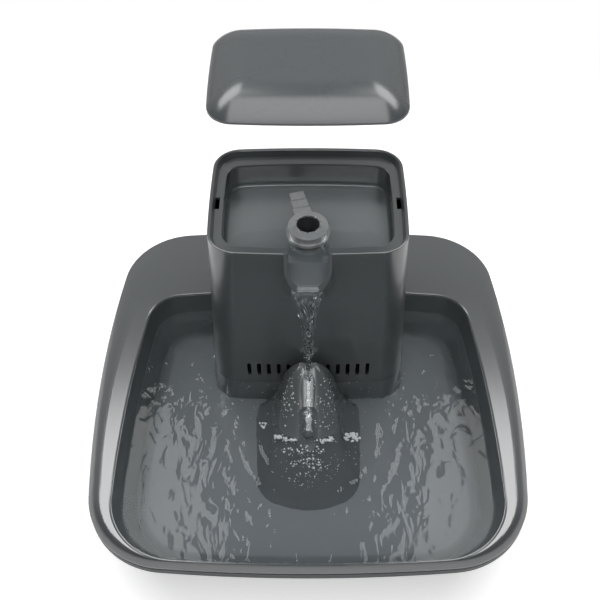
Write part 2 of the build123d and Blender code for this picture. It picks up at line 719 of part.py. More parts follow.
def impeller_magnet():
    """The ring magnet in the underside of the impeller."""
    outer = IMPELLER_RADIUS - IMPELLER_BLADE_THICKNESS
    top = IMPELLER_BOTTOM + IMPELLER_BASE - IMPELLER_BLADE_THICKNESS
    body = column(0, PUMP_Y, outer, IMPELLER_BOTTOM, top)
    return body - column(0, PUMP_Y, IMPELLER_HUB, IMPELLER_BOTTOM, IMPELLER_TOP)


def impeller():
    """Hub, magnet cup and swept blades, which run on the pin."""
    floor = IMPELLER_BOTTOM + IMPELLER_BASE
    body = column(0, PUMP_Y, IMPELLER_RADIUS, IMPELLER_BOTTOM, floor) - impeller_magnet()
    body += column(0, PUMP_Y, IMPELLER_HUB, IMPELLER_BOTTOM, IMPELLER_TOP)
    tip = IMPELLER_RADIUS - IMPELLER_TIP_MARGIN
    turn = radians(IMPELLER_SWEEP)
    sweep = ThreePointArc(
        (IMPELLER_HUB - IMPELLER_BLADE_THICKNESS / 2, 0),
        ((IMPELLER_HUB + tip) / 2, IMPELLER_BELLY_SHARE * tip),
        (tip * cos(turn), tip * sin(turn)),
    )
    blade = extrude(SlotArc(sweep, IMPELLER_BLADE_THICKNESS), IMPELLER_BLADE_HEIGHT)
    for k in range(IMPELLER_BLADES):
        body += Pos(0, PUMP_Y, floor) * Rot(0, 0, 360 * k / IMPELLER_BLADES) * blade
    return body - column(0, PUMP_Y, PIN_RADIUS + SHAFT_CLEARANCE / 2, IMPELLER_BOTTOM, IMPELLER_TOP)


PUMP_INNER = IMPELLER_RADIUS + PUMP_COVER_CLEARANCE
PUMP_OUTER = PUMP_INNER + PUMP_COVER_WALL
PUMP_COVER_BOTTOM = TOWER_BASE + PUMP_COVER_FOOT_GAP
PUMP_CEILING = IMPELLER_TOP + PUMP_COVER_CLEARANCE
RISER_BOTTOM = PUMP_CEILING + PUMP_COVER_WALL
RISER_TOP = NOZZLE_TOP - NOZZLE_CONE


def pump_cover():
    """The chamber over the impeller, with a ring of inlet windows and a socket for the riser."""
    socket_top = RISER_BOTTOM + 2 * RISER_COLLAR
    body = turned(
        [
            (RISER_BORE, PUMP_CEILING),
            (PUMP_INNER, PUMP_CEILING - PUMP_COVER_WALL),
            (PUMP_INNER, PUMP_COVER_BOTTOM),
            (PUMP_OUTER, PUMP_COVER_BOTTOM),
            (PUMP_OUTER, PUMP_CEILING),
            (RISER_RADIUS + PUMP_COVER_WALL, RISER_BOTTOM),
            (RISER_RADIUS + PUMP_COVER_WALL, socket_top),
            (RISER_RADIUS, socket_top),
            (RISER_RADIUS, RISER_BOTTOM),
            (RISER_BORE, RISER_BOTTOM),
        ],
        PUMP_Y,
    )
    window = block(
        (PUMP_INNER - OVERSHOOT, PUMP_OUTER + OVERSHOOT),
        (-PUMP_COVER_WALL, PUMP_COVER_WALL),
        (PUMP_COVER_BOTTOM - OVERSHOOT, PUMP_COVER_BOTTOM + PUMP_WINDOW_HEIGHT),
    )
    for k in range(PUMP_WINDOWS):
        body -= Pos(0, PUMP_Y, 0) * Rot(0, 0, 360 * (k + 0.5) / PUMP_WINDOWS) * window
    return body


def riser_tube():
    """The tube from the pump chamber up through the tray."""
    return turned(
        [
            (RISER_BORE, RISER_BOTTOM),
            (RISER_RADIUS, RISER_BOTTOM),
            (RISER_RADIUS, RISER_TOP),
            (RISER_BORE, RISER_TOP),
        ],
        PUMP_Y,
    )


# ---------------------------------------------------------------- tower
def tower_form(inset, bottom, top):
    """The tower's leaning form between two levels, drawn in by a wall."""
    return loft([tower_plan(z).inset(inset).face(z) for z in (bottom, top)], ruled=True)


SPOUT_TIP = TOWER_FRONT - SPOUT_REACH
SPOUT_TIP_LEVEL = TOWER_TOP - SPOUT_TIP_DROP
SPOUT_TIP_FLOOR = SPOUT_TIP_LEVEL - SPOUT_TIP_LIP
SPOUT_ENTRY_FLOOR = SPOUT_TIP_FLOOR + SPOUT_FLOOR_FALL


def spout_plan(inset, back):
    """The spout's plan: straight sides and a rounded tip."""
    half = SPOUT_WIDTH / 2 - inset
    plan = Pos(0, (SPOUT_TIP + inset + back) / 2) * Rectangle(2 * half, back - SPOUT_TIP - inset)
    return fillet(plan.vertices().group_by(Axis.Y)[0], SPOUT_CORNER - inset)


def spout():
    """The outside of the spout: side rims that fall to the tip and a raked underside."""
    back = TOWER_FRONT + TOWER_BOW_END + TOWER_WALL
    upright = Pos(0, 0, BASIN_FLOOR) * extrude(spout_plan(0, back), TOWER_TOP - BASIN_FLOOR)
    profile = side_profile(
        [
            (back, TOWER_TOP),
            (TOWER_FRONT, TOWER_TOP),
            (SPOUT_TIP, SPOUT_TIP_LEVEL),
            (SPOUT_TIP, SPOUT_TIP_FLOOR - SPOUT_WALL),
            (back, SPOUT_TIP_FLOOR - SPOUT_WALL - SPOUT_UNDER_DROP),
        ],
        SPOUT_WIDTH,
    )
    return upright & profile


def spout_channel():
    """The space that the water runs through, from the tray to the spout's tip."""
    back = TRAY_PLAN.front + TOWER_BOW_END
    upright = Pos(0, 0, BASIN_FLOOR) * extrude(spout_plan(SPOUT_WALL, back), TOWER_TOP)
    profile = side_profile(
        [
            (back, TOWER_TOP + OVERSHOOT),
            (SPOUT_TIP, TOWER_TOP + OVERSHOOT),
            (SPOUT_TIP, SPOUT_TIP_FLOOR),
            (back, SPOUT_ENTRY_FLOOR),
        ],
        SPOUT_WIDTH,
    )
    return upright & profile


def lip_recess():
    """The tapered recess inside the tower's lip that the lid sits in, with its edge rounded over."""
    taper = LIP_FLARE / LIP_DEPTH
    low = tower_plan(LEDGE).inset(TOWER_WALL + LIP_FLARE).face(LEDGE)
    edge = tower_plan(TOWER_TOP).inset(TOWER_WALL + LIP_ROUND * taper).face(TOWER_TOP - LIP_ROUND)
    above = OVERSHOOT + LIP_ROUND
    high = tower_plan(TOWER_TOP).inset(TOWER_WALL + LIP_ROUND * taper - above).face(TOWER_TOP + OVERSHOOT)
    return loft([low, edge], ruled=True) + loft([edge, high], ruled=True)


def tab_places():
    """Centre x of each lid tab, at the middle of the tower's sides."""
    return [side * (LID_PLAN.half_front - LID_TAB_THICKNESS / 2) for side in (-1, 1)]


LID_PLAN = replace(
    tower_plan(LEDGE).inset(TOWER_WALL + LIP_FLARE + LID_CLEARANCE),
    corner_front=LID_CORNER,
    corner_back=LID_CORNER,
)
TAB_Y = (LID_PLAN.front + LID_PLAN.back) / 2


def grille_slots():
    """The row of upright slots low on the tower's front."""
    slot = RectangleRounded(GRILLE_SLOT_WIDTH, GRILLE_SLOT_HEIGHT, GRILLE_SLOT_CORNER)
    depth = 4 * TOWER_WALL + TOWER_BOW_END
    cutter = extrude(Plane.XZ * slot, depth / 2, both=True)
    middle = GRILLE_BOTTOM + GRILLE_SLOT_HEIGHT / 2
    front = tower_plan(middle).front
    return [
        Pos((k - (GRILLE_SLOTS - 1) / 2) * GRILLE_PITCH, front, middle) * cutter
        for k in range(GRILLE_SLOTS)
    ]


def intake_arches():
    """The arched openings at the foot of the tower's sides."""
    arch = RectangleRounded(INTAKE_WIDTH, 2 * INTAKE_HEIGHT, INTAKE_HEIGHT / 2)
    half = tower_plan(TOWER_BASE).half_front + OVERSHOOT
    return Pos(0, PUMP_Y, TOWER_BASE) * extrude(Plane.YZ * arch, half, both=True)


def tower_wall():
    """The tower's leaning wall: lip for the lid, notch for the spout, grille and intakes."""
    form = tower_form(0, TOWER_BASE, TOWER_TOP)
    body = fillet(form.edges().group_by(Axis.Z)[-1], LIP_ROUND)
    body -= tower_form(TOWER_WALL, TOWER_BASE - OVERSHOOT, LEDGE)
    body -= lip_recess()
    body -= spout()
    for slot in grille_slots():
        body -= slot
    return body - intake_arches()


def tower_tray():
    """The pan in the tower's mouth: ledge for the lid, tray, socket for the riser and spout."""
    body = tower_form(TOWER_WALL, LEDGE_UNDERSIDE, LEDGE)
    pan_bottom = TRAY_FLOOR - TRAY_WALL
    body += extrude(TRAY_PLAN.inset(-TRAY_WALL).face(pan_bottom), LEDGE - pan_bottom)
    body += spout()
    pan = extrude(TRAY_PLAN.face(TRAY_FLOOR), TRAY_DEPTH + OVERSHOOT)
    body -= fillet(pan.edges().group_by(Axis.Z)[0], TRAY_FILLET)
    body -= rounded_mouth(TRAY_PLAN, LEDGE, TRAY_MOUTH_ROUND)
    body -= lip_recess()
    collar_top = TRAY_FLOOR + RISER_COLLAR_HEIGHT
    body += column(0, PUMP_Y, RISER_RADIUS + RISER_COLLAR, pan_bottom, collar_top)
    body -= column(0, PUMP_Y, RISER_RADIUS, pan_bottom, TOWER_TOP)
    body -= spout_channel()
    half = TAB_SLOT_LENGTH / 2
    reach = TAB_SLOT_WIDTH / 2
    for x in tab_places():
        body -= block(
            (x - reach, x + reach),
            (TAB_Y - half, TAB_Y + half),
            (LEDGE_UNDERSIDE - OVERSHOOT, LEDGE + OVERSHOOT),
        )
    return body


def nozzle_seal():
    """The rubber ring on the riser under the nozzle ring."""
    bottom = TRAY_FLOOR + RISER_COLLAR_HEIGHT
    body = column(0, PUMP_Y, RISER_RADIUS + RISER_COLLAR, bottom, bottom + NOZZLE_SEAL_HEIGHT)
    return body - column(0, PUMP_Y, RISER_RADIUS, bottom, bottom + NOZZLE_SEAL_HEIGHT)


# ---------------------------------------------------------------- filter
FILTER_BOTTOM = TOWER_BASE + 2 * PUMP_COVER_FOOT_GAP
FILTER_TOP = FILTER_BOTTOM + FILTER_HEIGHT
FILTER_BOW = TOWER_BOW_END * (FILTER_HALF / (TOWER_HALF - TOWER_BOW_SIDE)) ** 2
FILTER_BACK = tower_plan(FILTER_TOP).back - FILTER_BOW - TOWER_WALL - FILTER_SEAT_GAP
FILTER_FRONT = FILTER_BACK - FILTER_DEPTH


def filter_holder():
    """The open-topped cage that holds the filter, with windows in its front."""
    body = block((-FILTER_HALF, FILTER_HALF), (FILTER_FRONT, FILTER_BACK), (FILTER_BOTTOM, FILTER_TOP))
    body -= block(
        (-FILTER_HALF + FILTER_WALL, FILTER_HALF - FILTER_WALL),
        (FILTER_FRONT + FILTER_WALL, FILTER_BACK - FILTER_WALL),
        (FILTER_BOTTOM + FILTER_WALL, FILTER_TOP),
    )
    pitch = 2 * FILTER_HALF / 4
    for k in range(4):
        x = (k - 1.5) * pitch
        body -= block(
            (x - pitch / 3, x + pitch / 3),
            (FILTER_FRONT - OVERSHOOT, FILTER_FRONT + FILTER_WALL),
            (FILTER_BOTTOM + 4 * FILTER_WALL, FILTER_TOP - 4 * FILTER_WALL),
        )
    return body


def filter_pad(start_share, end_share):
    """A pad that fills the cage over part of its depth."""
    gap = FILTER_WALL + FILTER_GAP / 2
    room = FILTER_DEPTH - 2 * gap
    front = FILTER_FRONT + gap
    return block(
        (-FILTER_HALF + gap, FILTER_HALF - gap),
        (front + room * start_share, front + room * end_share),
        (FILTER_BOTTOM + FILTER_WALL, FILTER_TOP - FILTER_WALL),
    )


def foam_prefilter():
    """The foam pad on the filter's intake side."""
    return filter_pad(0, FOAM_SHARE)


def carbon_filter():
    """The carbon pad behind the foam."""
    return filter_pad(FOAM_SHARE, 1)


# ---------------------------------------------------------------- nozzle ring
def nozzle_ring():
    """The outlet ring on the riser, with its stepped lever."""
    bore = RISER_RADIUS + NOZZLE_CLEARANCE
    ring_bottom = NOZZLE_TOP - NOZZLE_RING_HEIGHT
    flange_bottom = ring_bottom - NOZZLE_FLANGE_HEIGHT
    roof = RISER_TOP + NOZZLE_CLEARANCE
    body = turned(
        [
            (RISER_BORE, NOZZLE_TOP),
            (NOZZLE_RADIUS, NOZZLE_TOP - NOZZLE_CONE),
            (NOZZLE_RADIUS, ring_bottom),
            (NOZZLE_FLANGE_RADIUS, ring_bottom),
            (NOZZLE_FLANGE_RADIUS, flange_bottom),
            (bore, flange_bottom),
            (bore, roof),
            (RISER_BORE, roof),
        ]
    )
    start = NOZZLE_RADIUS - LEVER_ROOT
    steps = []
    for k in range(LEVER_STEPS):
        share = (k + 0.5) / LEVER_STEPS
        width = LEVER_WIDTH + (LEVER_TIP_WIDTH - LEVER_WIDTH) * share
        length = (LEVER_REACH - start) / LEVER_STEPS
        top = NOZZLE_TOP - LEVER_DROP + LEVER_STEP_RISE * (k + 1)
        steps.append(
            block(
                (start + k * length, start + (k + 1) * length),
                (-width / 2, width / 2),
                (ring_bottom, top),
            )
        )
    lever = Rot(0, 0, LEVER_ANGLE) * (steps[0] + steps[1:])
    lever -= column(0, 0, NOZZLE_RADIUS - LEVER_ROOT / 3, flange_bottom, NOZZLE_TOP + LEVER_DROP)
    body += lever
    notch = block(
        (RISER_BORE - OVERSHOOT, RISER_BORE + NOTCH_LENGTH),
        (-NOTCH_WIDTH / 2, NOTCH_WIDTH / 2),
        (NOZZLE_TOP - NOTCH_DEPTH, NOZZLE_TOP + OVERSHOOT),
    )
    for k in range(NOTCHES):
        body -= Rot(0, 0, LEVER_ANGLE + 360 * (k + 0.5) / NOTCHES) * notch
    return Pos(0, PUMP_Y, 0) * body


# ---------------------------------------------------------------- lid
LID_SEAT = LEDGE + LID_SEAT_GAP
LID_LIFTED = Pos(0, LID_LIFT * sin(radians(LID_LIFT_TILT)), LID_LIFT * cos(radians(LID_LIFT_TILT)))


def dome(inset, crown):
    """A crown over the lid's plan: an upright edge, then a surface that curves in to the top."""
    steepest = radians(LID_EDGE_SLOPE)
    radius = crown / (1 - cos(steepest))
    edge_top = LID_SEAT + LID_EDGE
    sections = []
    for k in range(LID_SECTIONS + 1):
        slope = steepest * (1 - k / LID_SECTIONS)
        draw = inset + radius * (sin(steepest) - sin(slope))
        z = edge_top + radius * (cos(slope) - cos(steepest))
        sections.append(LID_PLAN.inset(draw, LID_CORNER_SHARE).face(z))
    return loft(sections) + extrude(LID_PLAN.inset(inset, LID_CORNER_SHARE).face(LID_SEAT), LID_EDGE)


def lid():
    """The domed lid with its two tabs, at rest lifted off the tower."""
    body = dome(0, LID_CROWN) - dome(LID_WALL, LID_CROWN - LID_WALL)
    half = LID_TAB_LENGTH / 2
    thick = LID_TAB_THICKNESS / 2
    for x in tab_places():
        body += block(
            (x - thick, x + thick),
            (TAB_Y - half, TAB_Y + half),
            (LID_SEAT - LID_TAB_DEPTH, LID_SEAT + thick),
        )
    return LID_LIFTED * body


# ---------------------------------------------------------------- splash ramp
RAMP_BOTTOM = BASIN_FLOOR + RAMP_SEAT_GAP
RAMP_BACK = tower_plan(TOWER_BASE).front - RAMP_TOWER_GAP
RAMP_INNER_SHARES = RAMP_SHARES[:-2]


def ramp_plan(share):
    """The ramp's plan at a share of its height: a round-nosed dome on a foot that flares forwards."""
    half = RAMP_DOME_HALF * sqrt(1 - share**RAMP_DOME_POWER)
    half += RAMP_FLARE_HALF * (1 - share) ** RAMP_FLARE_POWER
    length = RAMP_DOME_LENGTH * sqrt(1 - share**RAMP_REACH_DOME_POWER)
    length += RAMP_FLARE_LENGTH * (1 - share) ** RAMP_REACH_FLARE_POWER
    back = RAMP_BACK - RAMP_CROWN * (1 - sqrt(1 - share**RAMP_BACK_POWER))
    front = RAMP_BACK - length
    depth = back - front
    nose_share = RAMP_NOSE_SHARE_FOOT + (RAMP_NOSE_SHARE_TOP - RAMP_NOSE_SHARE_FOOT) * share
    return Outline(
        half_front=half * RAMP_FRONT_SHARE,
        half_back=half,
        front=front,
        back=back,
        corner_front=min(RAMP_CORNER_SHARE * half, RAMP_CORNER_DEPTH_SHARE * depth),
        corner_back=min(RAMP_BACK_CORNER_SHARE * half, RAMP_BACK_CORNER_DEPTH_SHARE * depth),
        bow_front=min(nose_share * half, RAMP_NOSE_DEPTH_SHARE * depth),
    )


def ramp_form(inset, shares):
    """The ramp's outside, or its inside when drawn in by a wall."""
    height = RAMP_HEIGHT - inset
    plans = [ramp_plan(share).inset(inset, RAMP_WALL_CORNER_SHARE) for share in shares]
    return loft([plan.face(RAMP_BOTTOM + height * share) for plan, share in zip(plans, shares)])


def ramp_crest(share, rise):
    """A point over the middle of the ramp's front slope, at a share of its height."""
    ahead = ramp_plan(share - RAMP_SHARE_STEP)
    here = ramp_plan(share)
    run = here.front - ahead.front
    step = RAMP_SHARE_STEP * RAMP_HEIGHT
    size = sqrt(run**2 + step**2)
    return (0, here.front - rise * step / size, RAMP_BOTTOM + RAMP_HEIGHT * share + rise * run / size)


def capsule(start, end, radius):
    """A round-ended rod between two points."""
    run = Vector(end) - Vector(start)
    rod = Plane(origin=start, z_dir=run) * extrude(Circle(radius), run.length)
    return rod + Pos(*start) * Sphere(radius) + Pos(*end) * Sphere(radius)


def along_crest(shares, radius, depth):
    """A round-ended rod over the ramp's slope that dips into it by a depth."""
    start, end = (ramp_crest(share, radius - depth) for share in shares)
    return capsule(start, end, radius)


def splash_ramp():
    """The hollow hump that the stream lands on, with a groove, a pocket and a tongue in it."""
    outside = ramp_form(0, RAMP_SHARES)
    body = fillet(outside.edges().group_by(Axis.Z)[-1], RAMP_TOP_FILLET)
    body -= along_crest(RAMP_GROOVE_SHARES, RAMP_GROOVE_RADIUS, RAMP_GROOVE_DEPTH)
    body -= along_crest(RAMP_POCKET_SHARES, RAMP_POCKET_RADIUS, RAMP_POCKET_DEPTH)
    sunk = 2 * RAMP_TONGUE_RADIUS - RAMP_TONGUE_RISE
    body += along_crest(RAMP_TONGUE_SHARES, RAMP_TONGUE_RADIUS, sunk)
    return body - ramp_form(RAMP_WALL, RAMP_INNER_SHARES)


# ---------------------------------------------------------------- inlet and board
def along_back(x, z, radius, start, end):
    """A cylinder along Y between two values."""
    return Pos(x, end, z) * Rot(90, 0, 0) * extrude(Circle(radius), end - start)


SOCKET_INNER_END = SOCKET_PLANE + SOCKET_FLANGE - SOCKET_LENGTH


def power_socket():
    """The low-voltage inlet: flange, barrel, bore and centre pin."""
    outer_end = SOCKET_PLANE + SOCKET_FLANGE
    body = along_back(0, SOCKET_HEIGHT, SOCKET_RADIUS, SOCKET_INNER_END, outer_end)
    body += along_back(0, SOCKET_HEIGHT, SOCKET_FLANGE_RADIUS, SOCKET_PLANE, outer_end)
    bore_end = SOCKET_INNER_END + 2 * SOCKET_FLANGE
    body -= along_back(0, SOCKET_HEIGHT, SOCKET_BORE, bore_end, outer_end)
    return body + along_back(0, SOCKET_HEIGHT, SOCKET_PIN, bore_end, outer_end - SOCKET_PIN_SETBACK)


def socket_nut():
    """The hexagonal nut that clamps the inlet to the shell."""
    end = SOCKET_PLANE - SHELL_WALL
    nut = extrude(RegularPolygon(SOCKET_FLANGE_RADIUS, 6), SOCKET_NUT_THICKNESS)
    nut -= extrude(Circle(SOCKET_RADIUS), SOCKET_NUT_THICKNESS)
    return Pos(0, end, SOCKET_HEIGHT) * Rot(90, 0, 0) * nut


def control_board():
    """The board with two connectors, capacitor, coil and chip."""
    half = BOARD_WIDTH / 2
    back = BOARD_FRONT + BOARD_DEPTH
    middle = BOARD_FRONT + BOARD_DEPTH / 2
    body = block((-half, half), (BOARD_FRONT, back), (BOARD_BOTTOM, BOARD_TOP))
    plug = CONNECTOR_WIDTH / 2
    plug_levels = (BOARD_TOP, BOARD_TOP + CONNECTOR_HEIGHT)
    body += block((-plug, plug), (BOARD_FRONT, BOARD_FRONT + CONNECTOR_DEPTH), plug_levels)
    body += block((-plug, plug), (back - CONNECTOR_DEPTH, back), plug_levels)
    body += column(-PART_FROM_MIDDLE, middle, CAPACITOR_RADIUS, BOARD_TOP, BOARD_TOP + CAPACITOR_HEIGHT)
    side = COIL_SIDE / 2
    coil_x = (PART_FROM_MIDDLE - side, PART_FROM_MIDDLE + side)
    body += block(coil_x, (middle - side, middle + side), (BOARD_TOP, BOARD_TOP + COIL_HEIGHT))
    body += block((-side, side), (middle - side, middle + side), (BOARD_TOP, BOARD_TOP + CHIP_HEIGHT))
    for x, y in BOARD_SCREW_PLACES:
        body -= column(x, y, SCREW_RADIUS, BOARD_BOTTOM, BOARD_TOP)
    return body


def board_screws():
    """Screws that hold the board to the cover's posts."""
    return [
        column(x, y, SCREW_HEAD_RADIUS, BOARD_TOP, BOARD_TOP + SCREW_HEAD_HEIGHT)
        + column(x, y, SCREW_RADIUS, BOARD_BOTTOM - BOARD_STANDOFF / 2, BOARD_TOP)
        for x, y in BOARD_SCREW_PLACES
    ]


LEAD_LEVEL = BOARD_TOP + CONNECTOR_HEIGHT / 2


def motor_lead():
    """Three short wires from the board to the motor."""
    places = (-LEAD_PITCH, 0, LEAD_PITCH)
    return [along_back(x, LEAD_LEVEL, LEAD_RADIUS, PUMP_Y + MOTOR_RADIUS, BOARD_FRONT) for x in places]


def power_lead():
    """Two wires from the inlet to the board."""
    back = BOARD_FRONT + BOARD_DEPTH
    places = (-LEAD_PITCH / 2, LEAD_PITCH / 2)
    return [along_back(x, LEAD_LEVEL, LEAD_RADIUS, back, SOCKET_INNER_END) for x in places]


PIECES = (
    bowl,
    base_shell,
    bottom_cover,
    cover_gasket,
    rubber_feet,
    cover_screws,
    shell_screws,
    motor_can,
    motor_bracket,
    motor_screws,
    rotor_shaft,
    magnet_carrier,
    drive_magnet,
    impeller_pin,
    impeller,
    impeller_magnet,
    pump_cover,
    riser_tube,
    tower_wall,
    tower_tray,
    nozzle_seal,
    filter_holder,
    foam_prefilter,
    carbon_filter,
    nozzle_ring,
    lid,
    splash_ramp,
    power_socket,
    socket_nut,
    control_board,
    board_screws,
    motor_lead,
    power_lead,
)


def main():
    """Build every piece and write it to its own file."""
    os.makedirs("parts", exist_ok=True)
    for piece in PIECES:
        solids = piece()
        if isinstance(solids, list):
            solids = Compound(children=[solid for item in solids for solid in item.solids()])
        export_step(solids, f"parts/{piece.__name__}.step")
        print(piece.__name__, "solids", len(solids.solids()))


if __name__ == "__main__":
    main()
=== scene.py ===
"""Dresses the pet water fountain: its moulded plastic, its water and the studio around it."""

import logging
import math
from dataclasses import astuple, dataclass, field, replace
from enum import Enum
from typing import Any, Callable, Mapping, Sequence

import bmesh
import bpy
from mathutils import Matrix, Vector, noise
from mathutils.bvhtree import BVHTree


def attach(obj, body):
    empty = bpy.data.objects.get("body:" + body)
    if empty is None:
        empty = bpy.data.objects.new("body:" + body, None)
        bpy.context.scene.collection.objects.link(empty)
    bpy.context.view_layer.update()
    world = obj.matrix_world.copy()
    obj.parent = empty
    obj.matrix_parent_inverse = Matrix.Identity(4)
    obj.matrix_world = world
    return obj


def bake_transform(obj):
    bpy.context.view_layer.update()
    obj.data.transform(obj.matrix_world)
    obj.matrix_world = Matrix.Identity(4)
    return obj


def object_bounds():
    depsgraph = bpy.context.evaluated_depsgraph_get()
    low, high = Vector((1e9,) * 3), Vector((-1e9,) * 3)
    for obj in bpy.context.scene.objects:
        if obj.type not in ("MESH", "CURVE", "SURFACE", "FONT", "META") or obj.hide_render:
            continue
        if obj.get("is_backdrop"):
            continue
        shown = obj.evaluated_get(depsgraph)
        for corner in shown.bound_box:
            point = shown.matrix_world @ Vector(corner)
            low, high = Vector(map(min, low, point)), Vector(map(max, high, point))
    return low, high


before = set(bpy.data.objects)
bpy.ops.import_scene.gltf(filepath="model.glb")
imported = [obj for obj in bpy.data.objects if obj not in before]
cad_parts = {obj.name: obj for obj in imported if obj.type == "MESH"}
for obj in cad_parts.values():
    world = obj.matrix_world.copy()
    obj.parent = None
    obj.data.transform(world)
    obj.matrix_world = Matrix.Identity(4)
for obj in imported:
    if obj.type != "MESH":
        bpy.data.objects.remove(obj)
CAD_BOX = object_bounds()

LOG = logging.getLogger("fountain")
Pair = tuple[float, float]
Colour = tuple[float, float, float]
Point = tuple[float, float, float]
Face = tuple[int, ...]
Places = list[Sequence[float]]
Values = Mapping[str | int, Any] | None
Piece = bpy.types.Object
Material = bpy.types.Material
WHITE = (1.0, 1.0, 1.0, 1.0)
UP = Vector((0.0, 0.0, 1.0))
DOWN = Vector((0.0, 0.0, -1.0))


# ---- shader maths
@dataclass(frozen=True)
class Signal:
    """A value on its way through a shader, so that shader maths reads as plain sums."""

    sheet: "NodeSheet"
    socket: bpy.types.NodeSocket

    def __add__(self, other: "Signal | float") -> "Signal":
        """The sum of two values."""
        return self.sheet.maths("ADD", self, other)

    def __radd__(self, other: float) -> "Signal":
        """A number plus this value."""
        return self.sheet.maths("ADD", other, self)

    def __sub__(self, other: "Signal | float") -> "Signal":
        """The difference of two values."""
        return self.sheet.maths("SUBTRACT", self, other)

    def __rsub__(self, other: float) -> "Signal":
        """A number less this value."""
        return self.sheet.maths("SUBTRACT", other, self)

    def __mul__(self, other: "Signal | float") -> "Signal":
        """The product of two values."""
        return self.sheet.maths("MULTIPLY", self, other)

    def __rmul__(self, other: float) -> "Signal":
        """A number times this value."""
        return self.sheet.maths("MULTIPLY", other, self)


class NodeSheet:
    """The node tree of one material or world, and the ways to add to it."""

    def __init__(self, tree: bpy.types.NodeTree) -> None:
        """Takes a node tree and clears it."""
        self.tree = tree
        self.tree.nodes.clear()

    def node(self, kind: str, settings: Values = None, sockets: Values = None) -> bpy.types.Node:
        """Adds any node.

        Args:
            kind: The node's type.
            settings: Its own settings, set first.
            sockets: Values or signals for its inputs.

        Returns:
            The node.
        """
        made = self.tree.nodes.new(kind)
        for name, value in (settings or {}).items():
            setattr(made, name, value)
        for name, value in (sockets or {}).items():
            if isinstance(value, Signal):
                self.tree.links.new(value.socket, made.inputs[name])
            else:
                made.inputs[name].default_value = value
        return made

    def signal(self, kind: str, settings: Values = None, sockets: Values = None, output: str | int = 0) -> Signal:
        """One output of a new node, which takes what node() takes."""
        return Signal(self, self.node(kind, settings, sockets).outputs[output])

    def maths(self, operation: str, first: Signal | float, second: Signal | float = 0.0) -> Signal:
        """The result of one Math node."""
        return self.signal("ShaderNodeMath", {"operation": operation}, {0: first, 1: second})

    def place(self) -> Signal:
        """The point on the surface in the fountain's own frame, in metres."""
        return self.signal("ShaderNodeTexCoord", output="Object")

    def axis(self, point: Signal, name: str) -> Signal:
        """The X, Y or Z of a point or direction."""
        return self.signal("ShaderNodeSeparateXYZ", None, {"Vector": point}, name)

    def eased(self, value: Signal, low: float, high: float) -> Signal:
        """A value's smooth rise from 0 at the low limit to 1 at the high one."""
        settings = {"interpolation_type": "SMOOTHSTEP"}
        return self.signal("ShaderNodeMapRange", settings, {"Value": value, "From Min": low, "From Max": high})

    def stretched(self, point: Signal, scale: Point) -> Signal:
        """A point with each axis scaled."""
        return self.signal("ShaderNodeVectorMath", {"operation": "MULTIPLY"}, {0: point, 1: scale})

    def clouds(self, point: Signal, size: float, detail: float = 2.0, warp: float = 0.0) -> Signal:
        """Noise from 0 to 1, in patches of a size in metres, with finer layers and some warp."""
        sockets = {"Vector": point, "Scale": 1.0 / size, "Detail": detail, "Distortion": warp}
        return self.signal("ShaderNodeTexNoise", None, sockets)

    def blend(self, share: Signal, first: Colour | Signal, second: Colour | Signal) -> Signal:
        """A colour between two colours, where the share is the second one's."""
        ends = {6 + i: end if isinstance(end, Signal) else (*end, 1.0) for i, end in enumerate((first, second))}
        return self.signal("ShaderNodeMix", {"data_type": "RGBA", "clamp_factor": True}, {"Factor": share, **ends}, 2)

    def between(self, share: Signal, first: Signal, second: Signal) -> Signal:
        """A shader between two shaders, where the share is the second one's."""
        return self.signal("ShaderNodeMixShader", None, {0: share, 1: first, 2: second})

    def glow(self, strength: float) -> Signal:
        """A shader that gives plain white light."""
        return self.signal("ShaderNodeEmission", None, {"Color": WHITE, "Strength": strength})

    def relief(self, height: Signal) -> Signal:
        """The normal that a height in metres gives."""
        return self.signal("ShaderNodeBump", None, {"Strength": 1.0, "Distance": 1.0, "Height": height})

    def ends_in(self, shader: Signal, kind: str = "ShaderNodeOutputMaterial") -> None:
        """Joins the last shader to the sheet's output."""
        self.node(kind, None, {"Surface": shader})


def new_material(name: str) -> tuple[Material, NodeSheet]:
    """Makes an empty material.

    Args:
        name: Its name.

    Returns:
        The material and its node sheet.
    """
    material = bpy.data.materials.new(name)
    material.use_nodes = True
    return material, NodeSheet(material.node_tree)


def shaded(colour: Colour, factor: float) -> Colour:
    """A colour made lighter or darker by a factor."""
    return tuple(min(1.0, channel * factor) for channel in colour)


# ---- finishes
class Relief(Enum):
    """How the fine relief of a surface runs."""

    SPARKED = "an even spark-eroded mould grain"
    TURNED = "rings left by a lathe"
    BRUSHED = "long strokes"
    CELLULAR = "open cells"
    GRANULAR = "pressed granules"
    ETCHED = "tracks on a board"


WATERLINE = 0.0708
WET_EDGE = 0.0004
WATER_INDEX = 1.333


